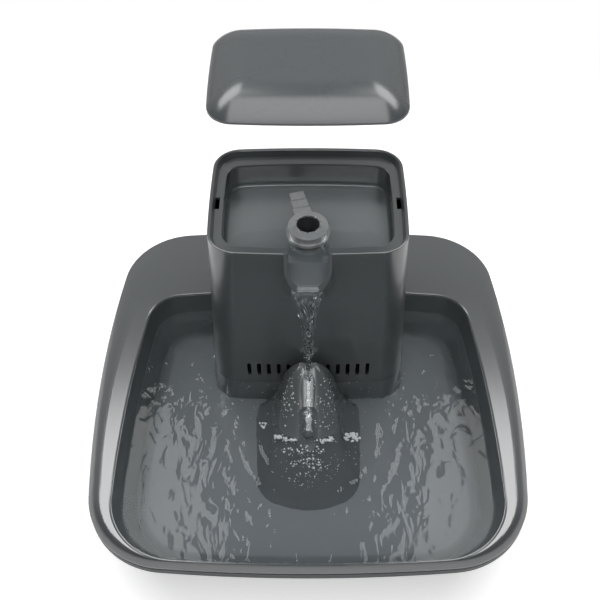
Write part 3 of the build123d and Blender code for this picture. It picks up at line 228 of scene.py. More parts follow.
@dataclass(frozen=True)
class Finish:
    """A solid's finish: its colour, gloss and fine relief."""

    name: str
    colour: Colour
    roughness: float
    relief: Relief = Relief.SPARKED
    grain: float = 0.0004
    depth: float = 0.000001
    mottling: float = 0.05
    mottle_size: float = 0.03
    mottle_share: float = 0.7
    mottle_warp: float = 0.6
    smear: float = 0.06
    metallic: float = 0.0
    specular: float = 0.5
    transmission: float = 0.0
    coat: float = 0.0
    coat_roughness: float = 0.12
    coat_index: float = 2.0
    waterline: float | None = None
    # factor on the colour below the waterline; under 1 it is painted shade on the underwater part
    painted_underwater_shade: float = 1.0

    def pattern(self, sheet: NodeSheet, point: Signal) -> Signal:
        """The relief's height from 0 to 1.

        Args:
            sheet: The material's sheet.
            point: The point on the surface.

        Returns:
            The height.
        """
        if self.relief is Relief.TURNED:
            settings = {"wave_type": "RINGS", "rings_direction": "Z"}
            sockets = {"Vector": point, "Scale": 0.5 / self.grain, "Distortion": 1.0, "Detail": 1.0}
            return sheet.signal("ShaderNodeTexWave", settings, sockets, 1)
        if self.relief is Relief.BRUSHED:
            return sheet.clouds(sheet.stretched(point, (1.0, 0.04, 1.0)), self.grain, 2.0)
        if self.relief in (Relief.CELLULAR, Relief.GRANULAR):
            sockets = {"Vector": point, "Scale": 1.0 / self.grain}
            cells = sheet.signal("ShaderNodeTexVoronoi", {"feature": "F1"}, sockets)
            return 1.0 - cells if self.relief is Relief.GRANULAR else cells
        if self.relief is Relief.ETCHED:
            settings = {"offset": 0.5, "squash": 1.0}
            sockets = {"Vector": point, "Scale": 0.25 / self.grain, "Mortar Size": 0.08}
            return sheet.signal("ShaderNodeTexBrick", settings, sockets, 1)
        return sheet.clouds(point, self.grain, 3.0)

    def material(self) -> Material:
        """Makes the finish's material, whose coat is gone under water and whose colour can be darkened there as
        painted shade.

        Returns:
            The material.
        """
        material, sheet = new_material(self.name)
        point = sheet.place()
        mottle = sheet.clouds(point, self.mottle_size, 4.0, self.mottle_warp)
        fine = self.pattern(sheet, point)
        dark, light = shaded(self.colour, 1.0 - self.mottling), shaded(self.colour, 1.0 + self.mottling)
        colour = sheet.blend(mottle * self.mottle_share + fine * (1.0 - self.mottle_share), dark, light)
        coat: Signal | float = self.coat
        if self.waterline is not None:
            height = sheet.axis(point, "Z")
            dry = sheet.eased(height, self.waterline - WET_EDGE, self.waterline + WET_EDGE)
            coat = dry * self.coat
            # painted shade: below the waterline the colour is multiplied darker, standing in for the shade under the
            # water
            if self.painted_underwater_shade < 1.0:
                colour = sheet.blend(dry, shaded(self.colour, self.painted_underwater_shade), colour)
        sockets: dict[str, Any] = {
            "Base Color": colour,
            "Roughness": self.roughness + (mottle - 0.5) * self.smear + (fine - 0.5) * (0.5 * self.smear),
            "Metallic": self.metallic,
            "Specular IOR Level": self.specular,
            "Transmission Weight": self.transmission,
            "Coat Weight": coat,
            "Coat Roughness": self.coat_roughness,
            "Coat IOR": self.coat_index,
            "Normal": sheet.relief(fine * self.depth),
        }
        sheet.ends_in(sheet.signal("ShaderNodeBsdfPrincipled", None, sockets))
        return material


SLATE: Colour = (0.064, 0.0708, 0.0748)
BOWL_PLASTIC = Finish(
    "slate_bowl_plastic", SLATE, 0.3, specular=0.12, coat=1.0, coat_roughness=0.2, waterline=WATERLINE
)
TOWER_PLASTIC = replace(BOWL_PLASTIC, name="slate_tower_plastic")
SHELL_PLASTIC = Finish("slate_shell_plastic", shaded(SLATE, 0.85), 0.36)
LID_PLASTIC = Finish("slate_lid_plastic", SLATE, 0.28, specular=0.4, coat=0.4, coat_roughness=0.22)
# painted light and shade: the ramp is the slate colour made 1.4 times lighter as painted light on its dome, and half
# of that under water as painted shade
RAMP_PAINTED_LIGHT_AND_SHADE = replace(
    BOWL_PLASTIC,
    name="slate_ramp_painted_light_and_shade",
    colour=shaded(SLATE, 1.4),
    roughness=0.2,
    specular=0.2,
    coat_roughness=0.18,
    painted_underwater_shade=0.5,
)
NOZZLE_PLASTIC = Finish(
    "smoky_nozzle_plastic",
    (0.3, 0.315, 0.325),
    0.12,
    grain=0.0022,
    depth=0.00016,
    mottling=0.3,
    mottle_size=0.004,
    smear=0.04,
    transmission=0.25,
    coat=1.0,
)
PUMP_PLASTIC = Finish("dark_pump_plastic", (0.045, 0.047, 0.05), 0.34)
IMPELLER_PLASTIC = Finish("white_impeller_plastic", (0.72, 0.72, 0.7), 0.32)
RUBBER = Finish("black_foot_rubber", (0.028, 0.028, 0.03), 0.72, grain=0.0009, depth=0.00003)
STEEL = Finish("turned_steel", (0.56, 0.57, 0.59), 0.3, Relief.TURNED, depth=0.000006, mottle_size=0.004, metallic=1.0)
MOTOR_STEEL = Finish("brushed_motor_steel", (0.38, 0.39, 0.41), 0.4, Relief.BRUSHED, 0.0005, 0.00001, metallic=1.0)
MAGNET = Finish("sintered_magnet", (0.12, 0.12, 0.13), 0.5, Relief.GRANULAR, 0.0005, 0.00001, metallic=0.8)
BOARD = Finish("etched_board", (0.03, 0.16, 0.07), 0.28, Relief.ETCHED, 0.0008, 0.00002, mottling=0.3)
FOAM = Finish("open_cell_foam", (0.1, 0.1, 0.11), 0.9, Relief.CELLULAR, 0.0014, 0.0005, mottling=0.4)
CARBON = Finish("carbon_filter_felt", (0.62, 0.63, 0.61), 0.85, Relief.GRANULAR, 0.0011, 0.0002, mottling=0.25)
LEAD = Finish("lead_jacket", (0.04, 0.04, 0.045), 0.45, grain=0.0008)

SCREWS = ("cover_screws", "shell_screws", "motor_screws", "board_screws")
FINISHED_NODES: dict[Finish, tuple[str, ...]] = {
    BOWL_PLASTIC: ("bowl",),
    SHELL_PLASTIC: ("base_shell", "bottom_cover"),
    TOWER_PLASTIC: ("tower_wall", "tower_tray"),
    LID_PLASTIC: ("lid",),
    RAMP_PAINTED_LIGHT_AND_SHADE: ("splash_ramp",),
    NOZZLE_PLASTIC: ("nozzle_ring",),
    PUMP_PLASTIC: ("pump_cover", "riser_tube", "filter_holder", "power_socket"),
    IMPELLER_PLASTIC: ("impeller",),
    RUBBER: ("cover_gasket", "rubber_feet", "nozzle_seal"),
    STEEL: (*SCREWS, "rotor_shaft", "impeller_pin", "socket_nut"),
    MOTOR_STEEL: ("motor_can", "motor_bracket", "magnet_carrier"),
    MAGNET: ("drive_magnet", "impeller_magnet"),
    BOARD: ("control_board",),
    FOAM: ("foam_prefilter",),
    CARBON: ("carbon_filter",),
    LEAD: ("motor_lead", "power_lead"),
}


@dataclass(frozen=True)
class Ripple:
    """A train of waves that runs outwards from a point."""

    centre: Pair
    wavelength: float
    height: float
    reach: float
    waver: float
    phase: float = 0.0
    waver_size: float = 0.055
    patch_size: float = 0.04
    patch_gain: float = 1.6
    patch_loss: float = 0.2


@dataclass(frozen=True)
class WaterFinish:
    """Clear water, with the waves of its surface."""

    name: str
    tint: Colour = (0.93, 0.96, 0.97)
    ripples: tuple[Ripple, ...] = ()
    chop: float = 0.00006
    chop_size: float = 0.012
    chop_stretch: Point = (1.0, 1.0, 1.0)

    def surface(self, sheet: NodeSheet) -> Signal:
        """The height of the water's surface, in metres.

        Args:
            sheet: The material's sheet.

        Returns:
            The height.
        """
        point = sheet.place()
        height = sheet.clouds(sheet.stretched(point, self.chop_stretch), self.chop_size, 2.0, 0.5) * self.chop
        for ripple in self.ripples:
            height = height + self.ring(sheet, point, ripple)
        return height

    @staticmethod
    def ring(sheet: NodeSheet, point: Signal, ripple: Ripple) -> Signal:
        """One train of ring waves.

        Args:
            sheet: The material's sheet.
            point: The point on the surface.
            ripple: The train.

        Returns:
            Its height, in metres.
        """
        centre = (*ripple.centre, 0.0)
        flat = sheet.stretched(point, (1.0, 1.0, 0.0))
        away = sheet.signal("ShaderNodeVectorMath", {"operation": "DISTANCE"}, {0: flat, 1: centre}, 1)
        waver = sheet.clouds(point, ripple.waver_size, 2.0, 0.8) * ripple.waver
        turns = (away + waver) * (math.tau / ripple.wavelength) + ripple.phase
        patch = sheet.clouds(point, ripple.patch_size, 1.0) * ripple.patch_gain - ripple.patch_loss
        fade = sheet.maths("EXPONENT", away * (-1.0 / ripple.reach))
        return sheet.maths("SINE", turns) * fade * patch * ripple.height

    def material(self) -> Material:
        """Makes the water's material.

        Returns:
            The material.
        """
        material, sheet = new_material(self.name)
        tint = (*self.tint, 1.0)
        sockets = {
            "Base Color": tint,
            "Roughness": 0.0,
            "IOR": WATER_INDEX,
            "Transmission Weight": 1.0,
            "Normal": sheet.relief(self.surface(sheet)),
        }
        water = sheet.signal("ShaderNodeBsdfPrincipled", None, sockets)
        shade = sheet.signal("ShaderNodeBsdfTransparent", None, {"Color": tint})
        lamps = sheet.signal("ShaderNodeLightPath", output="Is Shadow Ray")
        sheet.ends_in(sheet.between(lamps, water, shade))
        return material


@dataclass(frozen=True)
class FrothAndGlintFinish:
    """Small bubbles and drops made whitish: partly the real white of froth, partly painted glints that stand in for
    their highlights.
    """

    name: str = "white_froth_and_painted_glints"
    # whitish colour: partly real froth, partly painted glints on drops too small to show their own highlights
    colour: Colour = (0.8, 0.84, 0.86)
    clearness: float = 0.5
    roughness: float = 0.06
    skin_roughness: float = 0.03
    mottle_size: float = 0.0012
    shade: float = 0.75

    def material(self) -> Material:
        """Makes the froth's material.

        Returns:
            The material.
        """
        material, sheet = new_material(self.name)
        mottle = sheet.clouds(sheet.place(), self.mottle_size)
        sockets = {
            "Base Color": sheet.blend(mottle, shaded(self.colour, self.shade), self.colour),
            "Roughness": self.roughness,
            "IOR": WATER_INDEX,
            "Transmission Weight": self.clearness,
            "Coat Weight": 1.0,
            "Coat Roughness": self.skin_roughness,
        }
        sheet.ends_in(sheet.signal("ShaderNodeBsdfPrincipled", None, sockets))
        return material


# ---- mesh helpers
def surface_of(*nodes: str) -> BVHTree:
    """The surfaces of CAD nodes, ready for rays.

    Args:
        nodes: The nodes' names.

    Returns:
        One tree over all of them.
    """
    points: list[Vector] = []
    faces: list[list[int]] = []
    for node in nodes:
        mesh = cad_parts[node].data
        start = len(points)
        points += [v.co.copy() for v in mesh.vertices]
        faces += [[start + i for i in p.vertices] for p in mesh.polygons]
    return BVHTree.FromPolygons(points, faces)


def placed(name: str, data: bpy.types.ID) -> Piece:
    """Puts a mesh, a lamp or a camera into the scene.

    Args:
        name: Its name.
        data: What it shows.

    Returns:
        The object.
    """
    made = bpy.data.objects.new(name, data)
    bpy.context.scene.collection.objects.link(made)
    return made


def linked(name: str, work: bmesh.types.BMesh, material: Material) -> Piece:
    """Turns a worked mesh into a smooth-shaded piece in the scene.

    Args:
        name: The piece's name.
        work: The mesh, which is used up.
        material: Its finish.

    Returns:
        The piece.
    """
    for face in work.faces:
        face.smooth = True
    mesh = bpy.data.meshes.new(name)
    work.to_mesh(mesh)
    work.free()
    mesh.materials.append(material)
    return placed(name, mesh)


def new_piece(name: str, points: Places, faces: list[Face], material: Material) -> Piece:
    """Makes a piece from points and faces, with its faces turned outwards.

    Args:
        name: The piece's name.
        points: Its points, in metres.
        faces: Its faces.
        material: Its finish.

    Returns:
        The piece.
    """
    draft = bpy.data.meshes.new("draft")
    draft.from_pydata([tuple(p) for p in points], [], faces)
    work = bmesh.new()
    work.from_mesh(draft)
    bpy.data.meshes.remove(draft)
    bmesh.ops.recalc_face_normals(work, faces=work.faces)
    return linked(name, work, material)


def bands(rings: int, around: int, start: int = 0) -> list[Face]:
    """The quads between closed rings of points that lie one after another.

    Args:
        rings: How many rings there are.
        around: How many points each ring has.
        start: The first ring's first index.

    Returns:
        The faces.
    """
    faces: list[Face] = []
    for first in range(start, start + (rings - 1) * around, around):
        for i in range(around):
            a, b = first + i, first + (i + 1) % around
            faces.append((a, b, b + around, a + around))
    return faces


def tube(rings: int, around: int, start: int = 0) -> list[Face]:
    """The faces of a tube of rings, counted on from a first index, with a flat face at each end."""
    end = start + (rings - 1) * around
    return bands(rings, around, start) + [tuple(range(i, i + around)) for i in (start, end)]


def fanned(rings: int, around: int) -> list[Face]:
    """The faces of a body of rings whose two ends are fans round a middle point each.

    Args:
        rings: How many rings there are.
        around: How many points each ring has.

    Returns:
        The faces. The two middle points come after the rings.
    """
    faces = bands(rings, around)
    middle = rings * around
    last = middle - around
    for i in range(around):
        after = (i + 1) % around
        faces += [(middle, after, i), (middle + 1, last + i, last + after)]
    return faces


def circle(count: int) -> list[Pair]:
    """The cosine and sine of each of a number of even turns."""
    return [(math.cos(t), math.sin(t)) for t in (math.tau * i / count for i in range(count))]


@dataclass(frozen=True)
class Unrest:
    """Smooth unevenness, the same each run."""

    amount: float
    pace: Point

    def at(self, x: float, y: float, z: float) -> float:
        """A value between plus and minus the amount. Where the pace is 1, a seed may stand for a place."""
        return self.amount * noise.noise(Vector((x * self.pace[0], y * self.pace[1], z * self.pace[2])))


# ---- the fountain's own parts
@dataclass
class CadParts:
    """The solids that come with the frame, each with its finish."""

    finished: Mapping[Finish, tuple[str, ...]] = field(default_factory=lambda: FINISHED_NODES)

    def dress(self) -> list[Piece]:
        """Gives every solid its material.

        Returns:
            The solids.
        """
        finish_of = {node: finish for finish, nodes in self.finished.items() for node in nodes}
        made: dict[Finish, Material] = {}
        for name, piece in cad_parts.items():
            finish = finish_of[name]
            if finish not in made:
                made[finish] = finish.material()
            piece.data.materials.clear()
            piece.data.materials.append(made[finish])
        return list(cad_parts.values())


# ---- water
@dataclass
class BasinWater:
    """The water that stands in the bowl."""

    level: float = WATERLINE
    lower_levels: tuple[float, ...] = (0.066, 0.058, 0.05, 0.042, 0.036, 0.0325)
    bottom: float = 0.0287
    centre: Pair = (0.0, -0.038)
    around: int = 240
    rings: int = 64
    bite: float = 0.0012
    swell: float = 0.0004
    splash_y: float = -0.053
    ring_share: float = 0.8
    ring_wavelength: float = 0.018
    ring_reach: float = 0.05
    slow: Unrest = Unrest(0.4, (22.0, 22.0, 1.0))
    finish: WaterFinish = WaterFinish(
        "basin_water",
        ripples=(
            Ripple((-0.001, -0.05), 0.0105, 0.00014, 0.07, 0.006),
            Ripple((-0.012, -0.07), 0.016, 0.00016, 0.11, 0.016, 1.3),
            Ripple((0.185, 0.02), 0.019, 0.00006, 0.3, 0.03, 0.4),
            Ripple((-0.19, 0.03), 0.017, 0.00006, 0.3, 0.03, 2.1),
        ),
        chop=0.0009,
        chop_size=0.014,
        chop_stretch=(1.0, 0.6, 1.0),
    )

    def outline(self, wall: BVHTree, level: float) -> list[Vector]:
        """Where the water meets the bowl at one level, a little inside the plastic.

        Args:
            wall: The bowl's surface.
            level: The height.

        Returns:
            One point for each direction.
        """
        start = Vector((*self.centre, level))
        found = []
        for cos, sin in circle(self.around):
            way = Vector((cos, sin, 0.0))
            hit = wall.ray_cast(start, way)[0]
            found.append(hit + way * self.bite)
        return found

    def wave(self, x: float, y: float) -> float:
        """The slow swell of the surface at a place.

        Args:
            x: Across.
            y: Along.

        Returns:
            The rise, in metres.
        """
        away = math.hypot(x, y - self.splash_y)
        ring = math.sin(away * math.tau / self.ring_wavelength) * math.exp(-away / self.ring_reach)
        return self.swell * (self.ring_share * ring + self.slow.at(x, y, 3.0))

    def build(self) -> list[Piece]:
        """Makes the water as one closed body and lets it ride with the base.

        Returns:
            The water.
        """
        wall = surface_of("bowl")
        rim = self.outline(wall, self.level)
        points: Places = []
        for ring in range(1, self.rings + 1):
            share = ring / self.rings
            for edge in rim:
                x = self.centre[0] + (edge.x - self.centre[0]) * share
                y = self.centre[1] + (edge.y - self.centre[1]) * share
                points.append((x, y, self.level + self.wave(x, y)))
        for level in self.lower_levels:
            points += self.outline(wall, level)
        points += [(x, y, self.bottom) for x, y, _ in points[-self.around :]]
        points += [(*self.centre, self.level + self.wave(*self.centre)), (*self.centre, self.bottom)]
        rings = self.rings + len(self.lower_levels) + 1
        piece = new_piece("basin_water", points, fanned(rings, self.around), self.finish.material())
        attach(piece, "base")
        return [piece]


@dataclass(frozen=True)
class SpoutShape:
    """The spout's own sizes, as its water and its floor need them."""

    half: float = 0.0195
    wall: float = 0.0028
    corner: float = 0.013
    tip: float = -0.01275
    tip_top: float = 0.222
    rim_rise: float = 1.3243
    floor_at_tip: float = 0.217
    floor_rise: float = 0.0868
    floor_back: float = 0.0175

    def floor(self, y: float) -> float:
        """The channel's floor at a place along the spout."""
        return self.floor_at_tip + (y - self.tip) * self.floor_rise

    def rim(self, y: float) -> float:
        """The top of the spout's rim at a place along it."""
        return self.tip_top + (y - self.tip) * self.rim_rise

    def outer_reach(self, start: Vector, way: Vector, proud: float) -> float:
        """How far a way runs before it leaves the spout's rounded plan.

        Args:
            start: Where it starts.
            way: Its direction.
            proud: How far past the plan counts as still inside.

        Returns:
            The distance, in metres.
        """
        straight = self.half - self.corner
        front = (self.tip - proud - start.y) / way.y
        if abs(start.x + way.x * front) <= straight:
            return front
        side = math.copysign(straight, way.x)
        middle = Vector((side - start.x, self.tip + self.corner - start.y))
        flat = Vector((way.x, way.y))
        along = middle.dot(flat)
        inside = (self.corner + proud) ** 2 - (middle.length_squared - along**2)
        return along + math.sqrt(max(0.0, inside))


@dataclass
class SpoutFloor:
    """The short trough that carries the channel from the tray into the spout."""

    shape: SpoutShape = SpoutShape()
    front: float = 0.0104
    back: float = 0.018
    thickness: float = 0.0022
    top: float = 0.2384
    corner: float = 0.0012
    steps: int = 12
    finish: Finish = TOWER_PLASTIC

    def section(self, y: float) -> Places:
        """The trough's section at a place along it.

        Args:
            y: Along.

        Returns:
            Its points, in order.
        """
        inner = self.shape.half - self.shape.wall
        outer = inner + self.thickness
        floor = self.shape.floor(y)
        points: Places = [(-outer, y, self.top), (-inner, y, self.top)]
        for i in range(self.steps + 1):
            turn = 0.5 * math.pi * i / self.steps
            x, z = self.corner * (1.0 - math.cos(turn)), self.corner * (1.0 - math.sin(turn))
            points.append((-inner + x, y, floor + z))
        points += [(-x, y, z) for x, y, z in reversed(points[2:])]
        points += [(inner, y, self.top), (outer, y, self.top)]
        points += [(outer, y, floor - self.thickness), (-outer, y, floor - self.thickness)]
        return points

    def build(self) -> list[Piece]:
        """Makes the trough.

        Returns:
            The trough.
        """
        points = [*self.section(self.front), *self.section(self.back)]
        plastic = bpy.data.materials[self.finish.name]
        piece = new_piece("spout_floor", points, tube(2, len(points) // 2), plastic)
        for face in piece.data.polygons:
            face.use_smooth = False
        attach(piece, "tower")
        return [piece]


@dataclass
class TrayWater:
    """The water in the tower's tray and along its spout, as one body that brims over the spout's lip."""

    shape: SpoutShape = SpoutShape()
    level: float = 0.226
    brim: float = -0.009
    brim_drop: float = 0.0034
    brim_curve: float = 1.3
    proud: float = 0.0004
    centre: Pair = (0.0, 0.07)
    spread: int = 120
    spout_turn: float = 22.0
    spout_count: int = 160
    rings: int = 80
    bite: float = 0.0006
    forward: float = 0.9
    least_slope: float = 0.000001
    least_depth: float = 0.0007
    dip: float = 0.0002
    floor: float = 0.212
    floor_least: float = 0.205
    streaks: Unrest = Unrest(0.00025, (240.0, 30.0, 1.0))
    streaks_from: float = 0.02
    streaks_run: float = 0.028
    broken: Unrest = Unrest(0.0007, (420.0, 150.0, 1.0))
    finish: WaterFinish = WaterFinish(
        "tray_water",
        # darker tint: painted shade that darkens the tray floor seen through the water
        (0.76, 0.79, 0.8),
        ripples=(Ripple((0.0, 0.0493), 0.009, 0.00003, 0.03, 0.005),),
        chop=0.00004,
    )

    def directions(self) -> list[Vector]:
        """Ways out from the middle, closer together towards the spout.

        Returns:
            One direction for each way.
        """
        middle, count = -90.0, self.spout_count
        turns = [middle + self.spout_turn * (2.0 * i / count - 1.0) for i in range(count)]
        rest = 360.0 - 2.0 * self.spout_turn
        turns += [middle + self.spout_turn + rest * i / self.spread for i in range(self.spread)]
        return [Vector((math.cos(math.radians(t)), math.sin(math.radians(t)), 0.0)) for t in turns]

    def reach(self, wall: BVHTree, start: Vector, way: Vector) -> float:
        """How far the water goes along a way.

        Args:
            wall: The surfaces that hold it.
            start: The middle of the tray, at the water's level.
            way: The direction.

        Returns:
            The distance, in metres.
        """
        hit = wall.ray_cast(start, way)[0]
        found = (hit - start).length + self.bite if hit is not None else math.inf
        if way.y < -self.forward:
            found = min(found, self.shape.outer_reach(start, way, self.proud))
            side = (self.shape.half - self.shape.wall + self.bite) / max(abs(way.x), self.least_slope)
            if start.y + way.y * side < self.shape.floor_back:
                found = min(found, side)
        return found

    def crest(self, x: float, y: float) -> float:
        """The height of the water's surface at a place.

        Args:
            x: Across.
            y: Along.

        Returns:
            The height.
        """
        share = max(0.0, (self.brim - y) / (self.brim - self.shape.tip + self.proud))
        pull = min(1.0, max(0.0, (self.streaks_from - y) / self.streaks_run))
        streaks = self.streaks.at(x, y, 2.0) * pull
        broken = self.broken.at(x, y, 8.0) * min(1.0, 2.0 * share)
        return self.level - self.brim_drop * share**self.brim_curve + streaks + broken

    def bed(self, wall: BVHTree, x: float, y: float) -> float:
        """What the water stands on at a place.

        Args:
            wall: The surfaces that hold it.
            x: Across.
            y: Along.

        Returns:
            A height just inside the plastic.
        """
        if y < self.shape.tip + self.shape.wall:
            return self.shape.rim(y) - self.bite
        if y < self.shape.floor_back:
            return self.shape.floor(y) - self.bite
        hit = wall.ray_cast(Vector((x, y, self.level - self.dip)), DOWN)[0]
        return (hit.z if hit is not None and hit.z > self.floor_least else self.floor) - self.bite

    def build(self) -> list[Piece]:
        """Makes the water: its surface from the middle out, then what it stands on, back to the middle.

        Returns:
            The water.
        """
        wall = surface_of("tower_wall", "tower_tray")
        start = Vector((*self.centre, self.level))
        ways = self.directions()
        reaches = [self.reach(wall, start, way) for way in ways]
        points: Places = []
        beds: Places = []
        for ring in range(1, self.rings + 1):
            share = ring / self.rings
            low = []
            for way, reach in zip(ways, reaches):
                x, y = (start + way * reach * share).xy
                crest = self.crest(x, y)
                points.append((x, y, crest))
                inner = start + way * min(reach * share, reach - 2.0 * self.bite)
                low.append((x, y, min(self.bed(wall, inner.x, inner.y), crest - self.least_depth)))
            beds = low + beds
        points += [*beds, (*self.centre, self.level), (*self.centre, beds[-1][2])]
        piece = new_piece("tray_water", points, fanned(2 * self.rings, len(ways)), self.finish.material())
        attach(piece, "tower")
        return [piece]


@dataclass(frozen=True)
class StrandPoint:
    """Where a strand of falling water runs at one height, and how thick it is there."""

    height: float
    x: float
    y: float
    width: float
    depth: float


@dataclass(frozen=True)
class Strand:
    """One strand of the falling water, from its top to its foot."""

    path: tuple[StrandPoint, ...]
    beads: float
    seed: float

    @classmethod
    def through(cls, beads: float, seed: float, *rows: tuple[float, ...]) -> "Strand":
        """A strand through rows of height, x, y, width and depth, from its top to its foot."""
        return cls(tuple(StrandPoint(*row) for row in rows), beads, seed)

    def at(self, height: float) -> StrandPoint:
        """The strand at any height, between its listed points.

        Args:
            height: The height.

        Returns:
            The strand's place and size there.
        """
        for upper, lower in zip(self.path, self.path[1:]):
            if height >= lower.height:
                t = (upper.height - height) / (upper.height - lower.height)
                s = t * t * (3.0 - 2.0 * t)
                ends = zip(astuple(upper)[1:], astuple(lower)[1:])
                return StrandPoint(height, *(a + (b - a) * s for a, b in ends))
        return self.path[-1]


@dataclass
class FallingWater:
    """The stream from the spout's lip to the splash ramp: two edges, a skin between them and a rope below."""

    strands: tuple[Strand, ...] = (
        Strand.through(
            0.55,
            1.0,
            (0.2236, -0.0124, -0.0110, 0.0010, 0.0008),
            (0.2190, -0.0115, -0.0136, 0.0013, 0.0012),
            (0.2050, -0.0083, -0.0150, 0.0013, 0.0013),
            (0.1900, -0.0054, -0.0157, 0.0015, 0.0015),
            (0.1740, -0.0034, -0.0158, 0.0016, 0.0017),
            (0.1550, -0.0022, -0.0160, 0.0018, 0.0019),
            (0.1300, -0.0019, -0.0158, 0.0018, 0.0020),
            (0.1050, -0.0018, -0.0158, 0.0020, 0.0022),
        ),
        Strand.through(
            0.55,
            5.0,
            (0.2236, 0.0106, -0.0110, 0.0010, 0.0008),
            (0.2190, 0.0099, -0.0136, 0.0014, 0.0012),
            (0.2050, 0.0070, -0.0150, 0.0016, 0.0015),
            (0.1900, 0.0048, -0.0157, 0.0018, 0.0017),
            (0.1740, 0.0030, -0.0158, 0.0018, 0.0018),
            (0.1550, 0.0018, -0.0156, 0.0019, 0.0020),
            (0.1300, 0.0016, -0.0158, 0.0018, 0.0020),
            (0.1050, 0.0018, -0.0158, 0.0020, 0.0022),
        ),
        Strand.through(
            0.7,
            9.0,
            (0.2230, -0.0078, -0.0118, 0.0009, 0.0007),
            (0.2120, -0.0050, -0.0144, 0.0010, 0.0009),
            (0.1980, -0.0015, -0.0152, 0.0012, 0.0011),
            (0.1880, 0.0010, -0.0156, 0.0010, 0.0009),
            (0.1700, 0.0005, -0.0158, 0.0013, 0.0012),
            (0.1400, -0.0004, -0.0172, 0.0016, 0.0014),
            (0.1050, 0.0002, -0.0172, 0.0016, 0.0014),
        ),
        Strand.through(
            0.7,
            13.0,
            (0.2230, 0.0060, -0.0118, 0.0008, 0.0006),
            (0.2120, 0.0054, -0.0142, 0.0010, 0.0009),
            (0.1980, 0.0032, -0.0152, 0.0010, 0.0009),
            (0.1840, 0.0020, -0.0156, 0.0009, 0.0008),
        ),
    )
    around: int = 20
    rings: int = 260
    skin_top: float = 0.2232
    skin_foot: float = 0.168
    skin_depth: float = 0.0004
    skin_rows: int = 90
    skin_across: int = 22
    bead: Unrest = Unrest(1.0, (1.0, 1.0, 130.0))
    sway: Unrest = Unrest(0.0005, (1.0, 1.0, 90.0))
    rough: Unrest = Unrest(0.25, (1.0, 1.0, 150.0))
    skin_wave: Unrest = Unrest(0.0005, (420.0, 1.0, 130.0))
    finish: WaterFinish = WaterFinish(
        "falling_water", (0.97, 0.985, 0.99), chop=0.00022, chop_size=0.0036, chop_stretch=(1.0, 1.0, 0.3)
    )

    def add_strand(self, strand: Strand, points: Places, faces: list[Face]) -> None:
        """Adds one strand as a closed tube of uneven thickness.

        Args:
            strand: The strand.
            points: The points so far.
            faces: The faces so far.
        """
        base = len(points)
        top, foot = strand.path[0].height, strand.path[-1].height
        for ring in range(self.rings):
            height = top + (foot - top) * ring / (self.rings - 1)
            at = strand.at(height)
            bead = 1.0 + strand.beads * self.bead.at(strand.seed, 0.0, height)
            middle = at.x + self.sway.at(strand.seed, 4.0, height)
            for cos, sin in circle(self.around):
                swell = bead * (1.0 + self.rough.at(cos + strand.seed, sin, height))
                points.append((middle + at.width * cos * swell, at.y + at.depth * sin * swell, height))
        faces += tube(self.rings, self.around, base)

    def add_skin(self, points: Places, faces: list[Face]) -> None:
        """Adds the thin skin of water between the two outer strands.

        Args:
            points: The points so far.
            faces: The faces so far.
        """
        base, half = len(points), 0.5 * self.skin_depth
        for row in range(self.skin_rows):
            height = self.skin_top + (self.skin_foot - self.skin_top) * row / (self.skin_rows - 1)
            a, b = self.strands[0].at(height), self.strands[1].at(height)
            ring = []
            for i in range(self.skin_across):
                share = i / (self.skin_across - 1)
                x = a.x + (b.x - a.x) * share
                ring.append((x, a.y + (b.y - a.y) * share + self.skin_wave.at(x, 7.0, height)))
            points += [(x, y - half, height) for x, y in ring]
            points += [(x, y + half, height) for x, y in reversed(ring)]
        faces += tube(self.skin_rows, 2 * self.skin_across, base)

    def build(self) -> list[Piece]:
        """Makes the stream, which stretches between the tower and the bowl.

        Returns:
            The stream.
        """
        points: Places = []
        faces: list[Face] = []
        for strand in self.strands:
            self.add_strand(strand, points, faces)
        self.add_skin(points, faces)
        piece = new_piece("falling_water", points, faces, self.finish.material())
        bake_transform(piece)
        return [piece]


@dataclass(frozen=True)
class Cluster:
    """A patch of drops or bubbles."""

    centre: Pair
    half: Pair
    count: int
    smallest: float
    largest: float


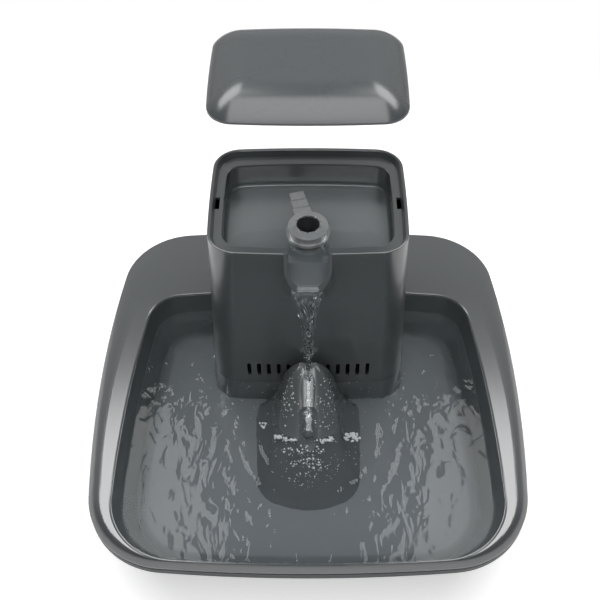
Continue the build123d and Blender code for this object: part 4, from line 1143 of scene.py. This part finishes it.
@dataclass
class Drops:
    """Drops, bubbles and running water that the splash leaves on the ramp and on the water."""

    seed: float = 7.0
    stirring: Point = (12.9898, 78.233, 43758.5453)
    smallness: float = 2.5
    ramp_clusters: tuple[Cluster, ...] = (
        Cluster((0.0, -0.03), (0.027, 0.024), 90, 0.0003, 0.0011),
        Cluster((-0.019, -0.03), (0.006, 0.02), 34, 0.0004, 0.001),
        Cluster((0.019, -0.03), (0.006, 0.02), 34, 0.0004, 0.001),
        Cluster((0.0, -0.026), (0.004, 0.018), 22, 0.0005, 0.0012),
    )
    water_clusters: tuple[Cluster, ...] = (
        Cluster((-0.0185, -0.056), (0.0135, 0.004), 60, 0.0007, 0.0018),
        Cluster((0.015, -0.0585), (0.008, 0.0036), 36, 0.0007, 0.0018),
        Cluster((0.04, -0.056), (0.0075, 0.0045), 30, 0.0008, 0.0022),
        Cluster((-0.042, -0.043), (0.0045, 0.0028), 14, 0.0007, 0.0016),
        Cluster((-0.004, -0.07), (0.02, 0.006), 48, 0.0004, 0.0011),
        Cluster((0.002, -0.083), (0.018, 0.006), 40, 0.0004, 0.0011),
        Cluster((0.0, -0.093), (0.024, 0.014), 46, 0.0003, 0.0007),
        Cluster((0.006, -0.07), (0.042, 0.034), 60, 0.0003, 0.0006),
        Cluster((-0.04, -0.02), (0.05, 0.025), 30, 0.0003, 0.0006),
        Cluster((0.05, -0.02), (0.05, 0.025), 26, 0.0003, 0.0006),
    )
    overhead: float = 0.2
    drop_height: float = 0.6
    bubble_height: float = 0.7
    bubble_lift: float = 0.0002
    margin: float = 0.001
    run_start: Point = (0.0004, -0.013, 0.0001)
    run_length: float = 0.04
    run_half: float = 0.0024
    run_height: float = 0.0008
    run_rows: int = 70
    run_around: int = 14
    run_beat: Unrest = Unrest(0.5, (1.0, 300.0, 1.0))
    ramp: BVHTree = field(default_factory=lambda: surface_of("splash_ramp"))
    finish: FrothAndGlintFinish = FrothAndGlintFinish()
    film_finish: WaterFinish = WaterFinish("running_water", (0.97, 0.985, 0.99), chop=0.0004, chop_size=0.003)

    def under(self, x: float, y: float) -> tuple[Vector | None, Vector | None]:
        """Where the ramp lies under a place, and which way it faces there."""
        return self.ramp.ray_cast(Vector((x, y, self.overhead)), DOWN)[:2]

    def chance(self, index: int, channel: int) -> float:
        """A repeatable number from 0 to 1 for one value of one drop."""
        first, second, spread = self.stirring
        return math.fmod(abs(math.sin(index * first + channel * second + self.seed)) * spread, 1.0)

    def scatter(self, clusters: Sequence[Cluster]) -> list[Point]:
        """Places and radii of drops.

        Args:
            clusters: The patches.

        Returns:
            The x, the y and the radius of each drop.
        """
        found = []
        for patch, cluster in enumerate(clusters):
            for index in range(1000 * patch, 1000 * patch + cluster.count):
                turn = math.tau * self.chance(index, 0)
                reach = math.sqrt(self.chance(index, 1))
                x = cluster.centre[0] + cluster.half[0] * reach * math.cos(turn)
                y = cluster.centre[1] + cluster.half[1] * reach * math.sin(turn)
                size = self.chance(index, 2) ** self.smallness
                found.append((x, y, cluster.smallest + (cluster.largest - cluster.smallest) * size))
        return found

    @staticmethod
    def add_drop(work: bmesh.types.BMesh, at: Vector, normal: Vector, radius: float, height: float) -> None:
        """Adds one flattened drop.

        Args:
            work: The mesh that it goes into.
            at: Where it sits.
            normal: Which way its surface faces.
            radius: Its radius.
            height: Its height over its radius.
        """
        turn = normal.to_track_quat("Z", "Y").to_matrix().to_4x4()
        size = Matrix.Diagonal((radius, radius, radius * height, 1.0))
        matrix = Matrix.Translation(at) @ turn @ size
        bmesh.ops.create_icosphere(work, subdivisions=2, radius=1.0, matrix=matrix)

    def finish_piece(self, work: bmesh.types.BMesh, name: str, body: str) -> Piece:
        """Turns a mesh of drops into a piece.

        Args:
            work: The mesh.
            name: The piece's name.
            body: What it rides on.

        Returns:
            The piece.
        """
        piece = linked(name, work, self.finish.material())
        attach(piece, body)
        return piece

    def on_ramp(self) -> Piece:
        """Makes the drops over the part of the ramp that stands out of the water.

        Returns:
            The drops.
        """
        work = bmesh.new()
        for x, y, radius in self.scatter(self.ramp_clusters):
            hit, normal = self.under(x, y)
            if hit is not None and hit.z >= WATERLINE + self.margin:
                self.add_drop(work, hit, normal, radius, self.drop_height)
        return self.finish_piece(work, "ramp_drops", "ramp")

    def on_water(self) -> Piece:
        """Makes the bubbles on the water around the ramp.

        Returns:
            The bubbles.
        """
        work = bmesh.new()
        for x, y, radius in self.scatter(self.water_clusters):
            hit, _ = self.under(x, y)
            if hit is None or hit.z <= WATERLINE - self.margin:
                self.add_drop(work, Vector((x, y, WATERLINE + self.bubble_lift)), UP, radius, self.bubble_height)
        return self.finish_piece(work, "surface_bubbles", "base")

    def down_ramp(self) -> Piece:
        """Makes the water that runs down the ramp's channel.

        Returns:
            The water.
        """
        points: Places = []
        middle, start, lift = self.run_start
        for row in range(self.run_rows):
            y = start - self.run_length * row / (self.run_rows - 1)
            beat = 1.0 + self.run_beat.at(2.0, y, 0.0)
            for cos, sin in circle(self.run_around):
                x = middle + self.run_half * beat * cos
                hit, _ = self.under(x, y)
                base = hit.z if hit is not None else WATERLINE
                points.append((x, y, base + lift + self.run_height * beat * sin))
        faces = tube(self.run_rows, self.run_around)
        piece = new_piece("channel_water", points, faces, self.film_finish.material())
        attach(piece, "ramp")
        return piece

    def build(self) -> list[Piece]:
        """Makes the drops, the bubbles and the water on the ramp."""
        return [self.on_ramp(), self.on_water(), self.down_ramp()]


# ---- studio
@dataclass(frozen=True)
class Softbox:
    """A soft lamp that faces down on the fountain."""

    name: str
    centre: Point
    size: Pair
    turn: float
    radiance: float
    lean: float = 0.0

    def build(self) -> None:
        """Adds the lamp."""
        light = bpy.data.lights.new(self.name, "AREA")
        light.shape = "RECTANGLE"
        light.size, light.size_y = self.size
        light.energy = self.radiance * math.pi * self.size[0] * self.size[1]
        lamp = placed(self.name, light)
        lamp.location = self.centre
        lamp.rotation_euler = (math.radians(-self.lean), 0.0, math.radians(self.turn))


@dataclass
class Studio:
    """The white floor and backdrop, the dark side where the camera stands, the lamps and the camera."""

    dark_side: float = 0.05
    backdrop: float = 0.42
    floor_colour: Colour = (0.86, 0.86, 0.86)
    floor_lift: float = 0.45
    floor_radius: float = 6.0
    floor_sides: int = 48
    floor_gap: float = 0.0002
    floor_fade: Pair = (0.3, 0.75)
    backdrop_side: Pair = (0.0, 0.6)
    backdrop_top: Pair = (0.7, 0.92)
    camera_place: Point = (0.0015, -0.49415, 0.7855)
    camera_tilt: float = 40.0
    camera_shift: float = -0.0165
    lens: float = 55.2
    sensor: float = 36.0
    nearest: float = 0.01
    softboxes: tuple[Softbox, ...] = (
        Softbox("left_softbox", (-0.716, 0.374, 1.27), (1.0, 0.62), 14.6, 4.7),
        Softbox("right_softbox", (0.716, 0.374, 1.27), (1.0, 0.62), -14.6, 4.7),
        Softbox("front_softbox", (0.0, -0.58, 1.42), (1.3, 1.4), 0.0, 2.5, -20.0),
    )

    def build_floor(self) -> Piece:
        """Makes the floor, which keeps the fountain's shadow and fades to plain white far away.

        Returns:
            The floor.
        """
        points = [(self.floor_radius * cos, self.floor_radius * sin, 0.0) for cos, sin in circle(self.floor_sides)]
        material, sheet = new_material("floor_paper")
        paper = sheet.signal("ShaderNodeBsdfDiffuse", None, {"Color": (*self.floor_colour, 1.0)})
        lifted = sheet.signal("ShaderNodeAddShader", None, {0: paper, 1: sheet.glow(self.floor_lift)})
        away = sheet.signal("ShaderNodeVectorMath", {"operation": "LENGTH"}, {0: sheet.place()}, 1)
        shown = sheet.between(sheet.eased(away, *self.floor_fade), lifted, sheet.glow(1.0))
        sheet.ends_in(sheet.between(self.seen(sheet), paper, shown))
        floor = new_piece("floor", points, [tuple(range(self.floor_sides))], material)
        floor.location.z = -self.floor_gap
        floor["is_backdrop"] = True
        return floor

    @staticmethod
    def seen(sheet: NodeSheet) -> Signal:
        """1 for rays straight from the camera or through water, and else 0."""
        rays = [sheet.signal("ShaderNodeLightPath", output=f"Is {kind} Ray") for kind in ("Camera", "Transmission")]
        return sheet.maths("MAXIMUM", *rays)

    def build_world(self) -> None:
        """Makes the surroundings: a white backdrop behind the fountain, and little light elsewhere."""
        world = bpy.data.worlds.new("surroundings")
        world.use_nodes = True
        bpy.context.scene.world = world
        sheet = NodeSheet(world.node_tree)
        way = sheet.signal("ShaderNodeTexCoord", output="Generated")
        behind = sheet.eased(sheet.axis(way, "Y"), *self.backdrop_side)
        low = 1.0 - sheet.eased(sheet.axis(way, "Z"), *self.backdrop_top)
        glow = behind * low * (self.backdrop - self.dark_side) + self.dark_side
        strength = sheet.maths("MAXIMUM", glow, self.seen(sheet))
        shader = sheet.signal("ShaderNodeBackground", None, {"Color": WHITE, "Strength": strength})
        sheet.ends_in(shader, "ShaderNodeOutputWorld")

    def build_camera(self) -> None:
        """Adds the camera."""
        data = bpy.data.cameras.new("camera")
        data.lens = self.lens
        data.sensor_width = self.sensor
        data.clip_start = self.nearest
        data.shift_x = self.camera_shift
        camera = placed("camera", data)
        camera.location = self.camera_place
        camera.rotation_euler = (math.radians(self.camera_tilt), 0.0, 0.0)
        bpy.context.scene.camera = camera

    def build(self) -> list[Piece]:
        """Builds the whole studio, of which only the floor is a piece.

        Returns:
            The floor.
        """
        floor = self.build_floor()
        self.build_world()
        self.build_camera()
        for softbox in self.softboxes:
            softbox.build()
        bpy.context.scene.view_settings.view_transform = "Standard"
        return [floor]


def plain(value: Any) -> Any:
    """Bounds as plain lists of numbers."""
    return [plain(item) for item in value] if hasattr(value, "__len__") else float(value)


def main() -> None:
    """Builds the fountain's looks in order and reports each piece."""
    logging.basicConfig(level=logging.INFO, format="%(message)s")
    makers: tuple[Callable[[], list[Piece]], ...] = (
        CadParts().dress,
        Studio().build,
        SpoutFloor().build,
        BasinWater().build,
        TrayWater().build,
        FallingWater().build,
        Drops().build,
    )
    for make in makers:
        for piece in make():
            LOG.info("%s: %d points", piece.name, len(piece.data.vertices))
    {"cad": plain(CAD_BOX), "visual": plain(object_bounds())}


if __name__ == "__main__":
    main()
